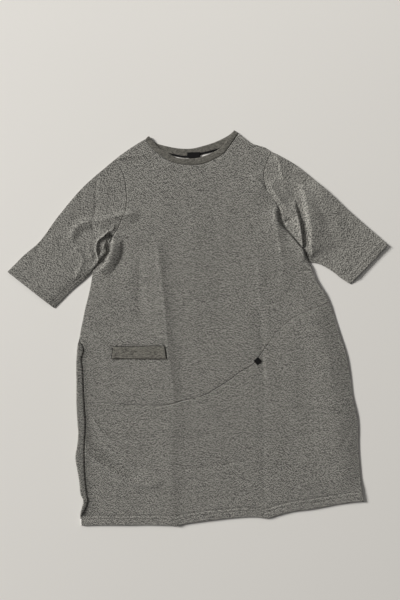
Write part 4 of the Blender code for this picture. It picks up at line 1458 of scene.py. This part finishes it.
def make_welt_shade_strips():
    """Painted shade: a black strip in the pocket mouth for the shadow in the slit, and black strips along
    the welt's sewn edges for the shade beside them.
    """
    lower_left, lower_right, upper_left, upper_right = np.array(WELT_CORNERS, float)
    for name, start, end, width, base in (
        # black strips of painted shade where the pocket mouth and the welt's edges lie in shadow
        ("painted_shade_pocket_mouth", upper_left + (1, 0.9), upper_right + (-1, 0.9), 3.4, 0.5),
        ("painted_shade_welt_lower", lower_left + (0, 0.1), lower_right + (0, 0.1), 2.8, 0.7),
        ("painted_shade_welt_right", lower_left + (-0.4, 1), upper_left + (-0.4, -1), 2.4, 0.6),
        ("painted_shade_welt_left", lower_right + (0.6, 1), upper_right + (0.6, -1), 1.6, 0.4),
    ):
        middle = mix(start, end, np.linspace(0, 1, 60)[:, None])
        make_ribbon(name, middle, width, lay(middle) + base, SHADE_STRIP_RISE, [], "facing")


def make_label(node, corners, size, thickness, base):
    """A flat label between four corners, with its upper edges rounded over and a closed wall."""
    u, v = (
        np.concatenate([[0, 0.02, 0.05], np.linspace(0, 1, cells + 1)[1:-1], [0.95, 0.98, 1]])
        for cells in LABEL_CELLS
    )
    across = quarter(np.minimum(u, 1 - u) * size[0], LABEL_ROUND)
    up = quarter(np.minimum(v, 1 - v) * size[1], LABEL_ROUND)
    height = base + thickness * mix(LABEL_WALL, 1, across * up[:, None])
    surface = with_height(bilinear(corners, u, v), height)
    make_sheet(f"dress_{node}", surface, LABEL_WALL * thickness, "trim", [node], ["label_weave"])


def make_seam_label():
    """The square label let into the curved seam, standing on one corner."""
    reach = SEAM_LABEL_SIDE / math.sqrt(2)
    x, y = SEAM_LABEL_CENTRE
    corners = ((x, y - reach), (x + reach, y), (x - reach, y), (x, y + reach))
    base = lay(np.array([SEAM_LABEL_CENTRE]))[0] - SEAM_LABEL_SUNK
    make_label("seam_label", corners, (SEAM_LABEL_SIDE, SEAM_LABEL_SIDE), SEAM_LABEL_THICK, base)


def make_neck_trims():
    """The tape over the back neck seam and the label sewn over it."""
    line = smooth(BACK_NECKLINE)
    first, last = np.array(TAPE_REACH) * length_of(line)
    middle = at_lengths(line, np.linspace(first, last, TAPE_POINTS))
    make_ribbon("dress_neck_tape", middle, TAPE_WIDTH, TAPE_BASE, TAPE_RISE, ["neck_tape"], "tape_weave")
    make_label("neck_label", NECK_LABEL, NECK_LABEL_SIZE, NECK_LABEL_THICK, NECK_LABEL_BASE)


# ---------------------------------------------------------------------------------------------
# Stitches
# ---------------------------------------------------------------------------------------------


def stitch_shape(length, width):
    """One stitch: the points and faces of an ellipsoid, longer than it is wide."""
    sides = 6
    phi = np.linspace(STITCH_TIP, math.pi - STITCH_TIP, sides)[:, None]
    theta = np.linspace(0, math.tau, sides, endpoint=False)
    ball = (-np.cos(phi), np.sin(phi) * np.cos(theta), np.sin(phi) * np.sin(theta))
    points = np.stack(np.broadcast_arrays(*ball), axis=-1).reshape(-1, 3)
    points = points * np.array([length, width, width]) / 2
    caps = [[0, 5, 4, 3], [0, 3, 2, 1], [30, 31, 32, 33], [30, 33, 34, 35]]
    faces = np.concatenate([grid_faces(sides, sides, closed_columns=True), caps])
    return points, outward(points, faces)


def stitch_row(name, line, up, lift):
    """One mesh of stitches along a line, half sunk in the cloth. up is 1 on the front's face and
    -1 on the underside."""
    sizes = bpy.context.scene.dress_sizes
    whole = length_of(line)
    count = int(whole / (sizes.stitch_pitch / MM))
    stops = (np.arange(count) + 0.5) * whole / count
    centres = at_lengths(line, stops)
    tangent = at_lengths(line, stops + 0.5) - centres
    tangent /= np.linalg.norm(tangent, axis=1)[:, None]
    normal = np.array([0.0, 0.0, up])
    axes = np.stack([tangent, np.cross(normal, tangent), np.tile(normal, (count, 1))], axis=1)
    shape, faces = stitch_shape(sizes.stitch_length / MM, sizes.stitch_width / MM)
    points = centres[:, None] + shape @ axes + lift * normal
    all_faces = faces + (np.arange(count) * len(shape))[:, None, None]
    place(new_mesh(name, points, all_faces.reshape(-1, 4)), [], ["thread"])


# ---------------------------------------------------------------------------------------------
# Stage
# ---------------------------------------------------------------------------------------------


def make_floor():
    """A plain floor just under the cloth."""
    side = np.linspace(-FLOOR_REACH, FLOOR_REACH, 9)
    x, y = np.meshgrid(side, side)
    points = np.stack([x, y, np.full(x.shape, FLOOR_LEVEL)], axis=-1)
    floor = new_mesh("floor", points, grid_faces(9, 9))
    floor.data.materials.append(material("floor_paint"))


def make_light(name, location, size, power):
    """A square area light that faces the middle of the dress."""
    light = bpy.data.lights.new(name, "AREA")
    light.shape = "SQUARE"
    light.size = size
    light.energy = power
    light.color = LIGHT_COLOUR
    obj = bpy.data.objects.new(name, light)
    obj.location = location
    obj.rotation_euler = (-obj.location).to_track_quat("-Z", "Y").to_euler()
    bpy.context.scene.collection.objects.link(obj)


def make_camera(sizes):
    """A camera that looks straight down over the middle of the dress."""
    camera = bpy.data.cameras.new("camera")
    camera.lens = sizes.lens
    camera.sensor_width = 36
    eye = bpy.data.objects.new("camera", camera)
    x, y = ((low + high) / 2 + shift for low, high, shift in zip(*CAD_BOX, AIM_SHIFT))
    eye.location = (x, y, sizes.view_height)
    bpy.context.scene.collection.objects.link(eye)
    bpy.context.scene.camera = eye


def make_sky(strength):
    """Even light from all round."""
    world = bpy.data.worlds.new("studio")
    world.use_nodes = True
    sky = world.node_tree.nodes["Background"]
    sky.inputs["Color"].default_value = SKY_COLOUR
    sky.inputs["Strength"].default_value = strength
    bpy.context.scene.world = world
    bpy.context.scene.view_settings.view_transform = "Standard"


# ---------------------------------------------------------------------------------------------
# Add-on
# ---------------------------------------------------------------------------------------------


def colour_property(name, description, default):
    """A colour that a user may change."""
    return bpy.props.FloatVectorProperty(
        name=name, description=description, subtype="COLOR", default=default, min=0, max=1
    )


def size_property(name, description, default, unit="NONE"):
    """A number that a user may change."""
    return bpy.props.FloatProperty(name=name, description=description, default=default, unit=unit)


class DressColours(bpy.types.PropertyGroup):
    """Colours of the cloth, trims and floor."""

    dark_fibre: colour_property("Dark fibre", "Darker fibres of the melange", (0.038, 0.0365, 0.032))
    pale_fibre: colour_property("Pale fibre", "Paler fibres of the melange", (0.280, 0.272, 0.246))
    fleck: colour_property("Fleck", "Short dark flecks along the courses", (0.075, 0.072, 0.066))
    reverse: colour_property("Reverse", "Looped reverse side of the cloth", (0.70, 0.68, 0.65))
    rib_dark: colour_property("Rib, dark", "Darker fibres of the rib", (0.032, 0.030, 0.025))
    rib_pale: colour_property("Rib, pale", "Paler fibres of the rib", (0.196, 0.187, 0.160))
    # the trim colour also paints the strips of shade at the pocket
    trim: colour_property("Trim", "Tape and labels", (0.006, 0.006, 0.006))
    thread: colour_property("Thread", "Sewing thread", (0.045, 0.043, 0.039))
    floor: colour_property("Floor", "The plain floor", (0.685, 0.67, 0.64))


class DressSizes(bpy.types.PropertyGroup):
    """Sizes of the stitching, the view and the lights."""

    stitch_pitch: size_property("Stitch pitch", "From one stitch to the next", 0.0036, "LENGTH")
    stitch_length: size_property("Stitch length", "Length of one stitch", 0.0029, "LENGTH")
    stitch_width: size_property("Thread width", "Width of the thread", 0.0010, "LENGTH")
    view_height: size_property("View height", "Camera above the floor", 1.1, "LENGTH")
    lens: size_property("Lens", "Focal length", 26.4, "CAMERA")
    key_power: size_property("Key power", "Power of the large soft light", 3940, "POWER")
    top_power: size_property("Top power", "Power of the light beyond the neck", 6.5, "POWER")
    sky: size_property("Sky", "Strength of the even light", 0.135)


# Surfaces that carry lines of stitches, kept by the operators that make them
SURFACES = {}


class DRESS_OT_front(bpy.types.Operator):
    """Make the upper and lower front panels"""

    bl_idname = "dress.front"
    bl_label = "Front panels"

    def execute(self, context):
        make_front_upper(Edges())
        SURFACES["front"] = make_front_lower(Edges())
        return {"FINISHED"}


class DRESS_OT_back(bpy.types.Operator):
    """Make the back panel with its rolled edge"""

    bl_idname = "dress.back"
    bl_label = "Back panel"

    def execute(self, context):
        SURFACES["back"] = make_back(Edges())
        return {"FINISHED"}


class DRESS_OT_sleeves(bpy.types.Operator):
    """Make both sleeves"""

    bl_idname = "dress.sleeves"
    bl_label = "Sleeves"

    def execute(self, context):
        for side in SLEEVES:
            SURFACES[side] = make_sleeve(side)
        return {"FINISHED"}


class DRESS_OT_neck(bpy.types.Operator):
    """Make the neckband, the neck tape and the neck label"""

    bl_idname = "dress.neck"
    bl_label = "Neckband and neck trims"

    def execute(self, context):
        make_neckband()
        make_neck_trims()
        return {"FINISHED"}


class DRESS_OT_pocket(bpy.types.Operator):
    """Make the pocket welt, its strips of painted shade and the label in the curved seam"""

    bl_idname = "dress.pocket"
    bl_label = "Pocket welt and seam label"

    def execute(self, context):
        make_welt()
        make_welt_shade_strips()
        make_seam_label()
        return {"FINISHED"}


class DRESS_OT_stitches(bpy.types.Operator):
    """Make the rows of stitching at the hem and the cuffs"""

    bl_idname = "dress.stitches"
    bl_label = "Stitches"

    def execute(self, context):
        for number, distance in enumerate(STITCH_LINES, 1):
            row = len(TURNED_ROWS) + HEM_ROWS.index(distance)
            stitch_row(f"stitches_hem_front_{number}", SURFACES["front"][row, HEM_SPAN], 1, FACE_LIFT)
            stitch_row(f"stitches_hem_back_{number}", SURFACES["back"][row, BACK_SPAN], -1, BACK_LIFT)
        for side in SLEEVES:
            row = -1 - len(TURNED_ROWS) - HEM_ROWS.index(CUFF_STITCH_ROW)
            stitch_row(f"stitches_{side}", SURFACES[side][row, CUFF_SPAN], 1, FACE_LIFT)
        return {"FINISHED"}


class DRESS_OT_stage(bpy.types.Operator):
    """Make the floor, the lights and the camera"""

    bl_idname = "dress.stage"
    bl_label = "Stage"

    def execute(self, context):
        sizes = context.scene.dress_sizes
        make_floor()
        make_camera(sizes)
        make_light("key", *KEY_LIGHT, sizes.key_power)
        make_light("top", *TOP_LIGHT, sizes.top_power)
        make_sky(sizes.sky)
        return {"FINISHED"}


class DRESS_PT_panel(bpy.types.Panel):
    """Lists the dress's operators, colours and sizes"""

    bl_label = "Sweatshirt dress"
    bl_idname = "DRESS_PT_panel"
    bl_space_type = "VIEW_3D"
    bl_region_type = "UI"
    bl_category = "Dress"

    def draw(self, context):
        layout = self.layout
        for operator in OPERATORS:
            layout.operator(operator.bl_idname)
        for group in (context.scene.dress_colours, context.scene.dress_sizes):
            box = layout.box()
            for name in type(group).__annotations__:
                box.prop(group, name)


OPERATORS = (
    DRESS_OT_front,
    DRESS_OT_back,
    DRESS_OT_sleeves,
    DRESS_OT_neck,
    DRESS_OT_pocket,
    DRESS_OT_stitches,
    DRESS_OT_stage,
)
CLASSES = (DressColours, DressSizes, *OPERATORS, DRESS_PT_panel)


def register():
    for cls in CLASSES:
        bpy.utils.register_class(cls)
    bpy.types.Scene.dress_colours = bpy.props.PointerProperty(type=DressColours)
    bpy.types.Scene.dress_sizes = bpy.props.PointerProperty(type=DressSizes)


def unregister():
    del bpy.types.Scene.dress_sizes
    del bpy.types.Scene.dress_colours
    for cls in reversed(CLASSES):
        bpy.utils.unregister_class(cls)


def main():
    register()
    bpy.ops.dress.front()
    bpy.ops.dress.back()
    bpy.ops.dress.sleeves()
    bpy.ops.dress.neck()
    bpy.ops.dress.pocket()
    bpy.ops.dress.stitches()
    bpy.ops.dress.stage()
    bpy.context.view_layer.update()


if __name__ == "__main__":
    main()
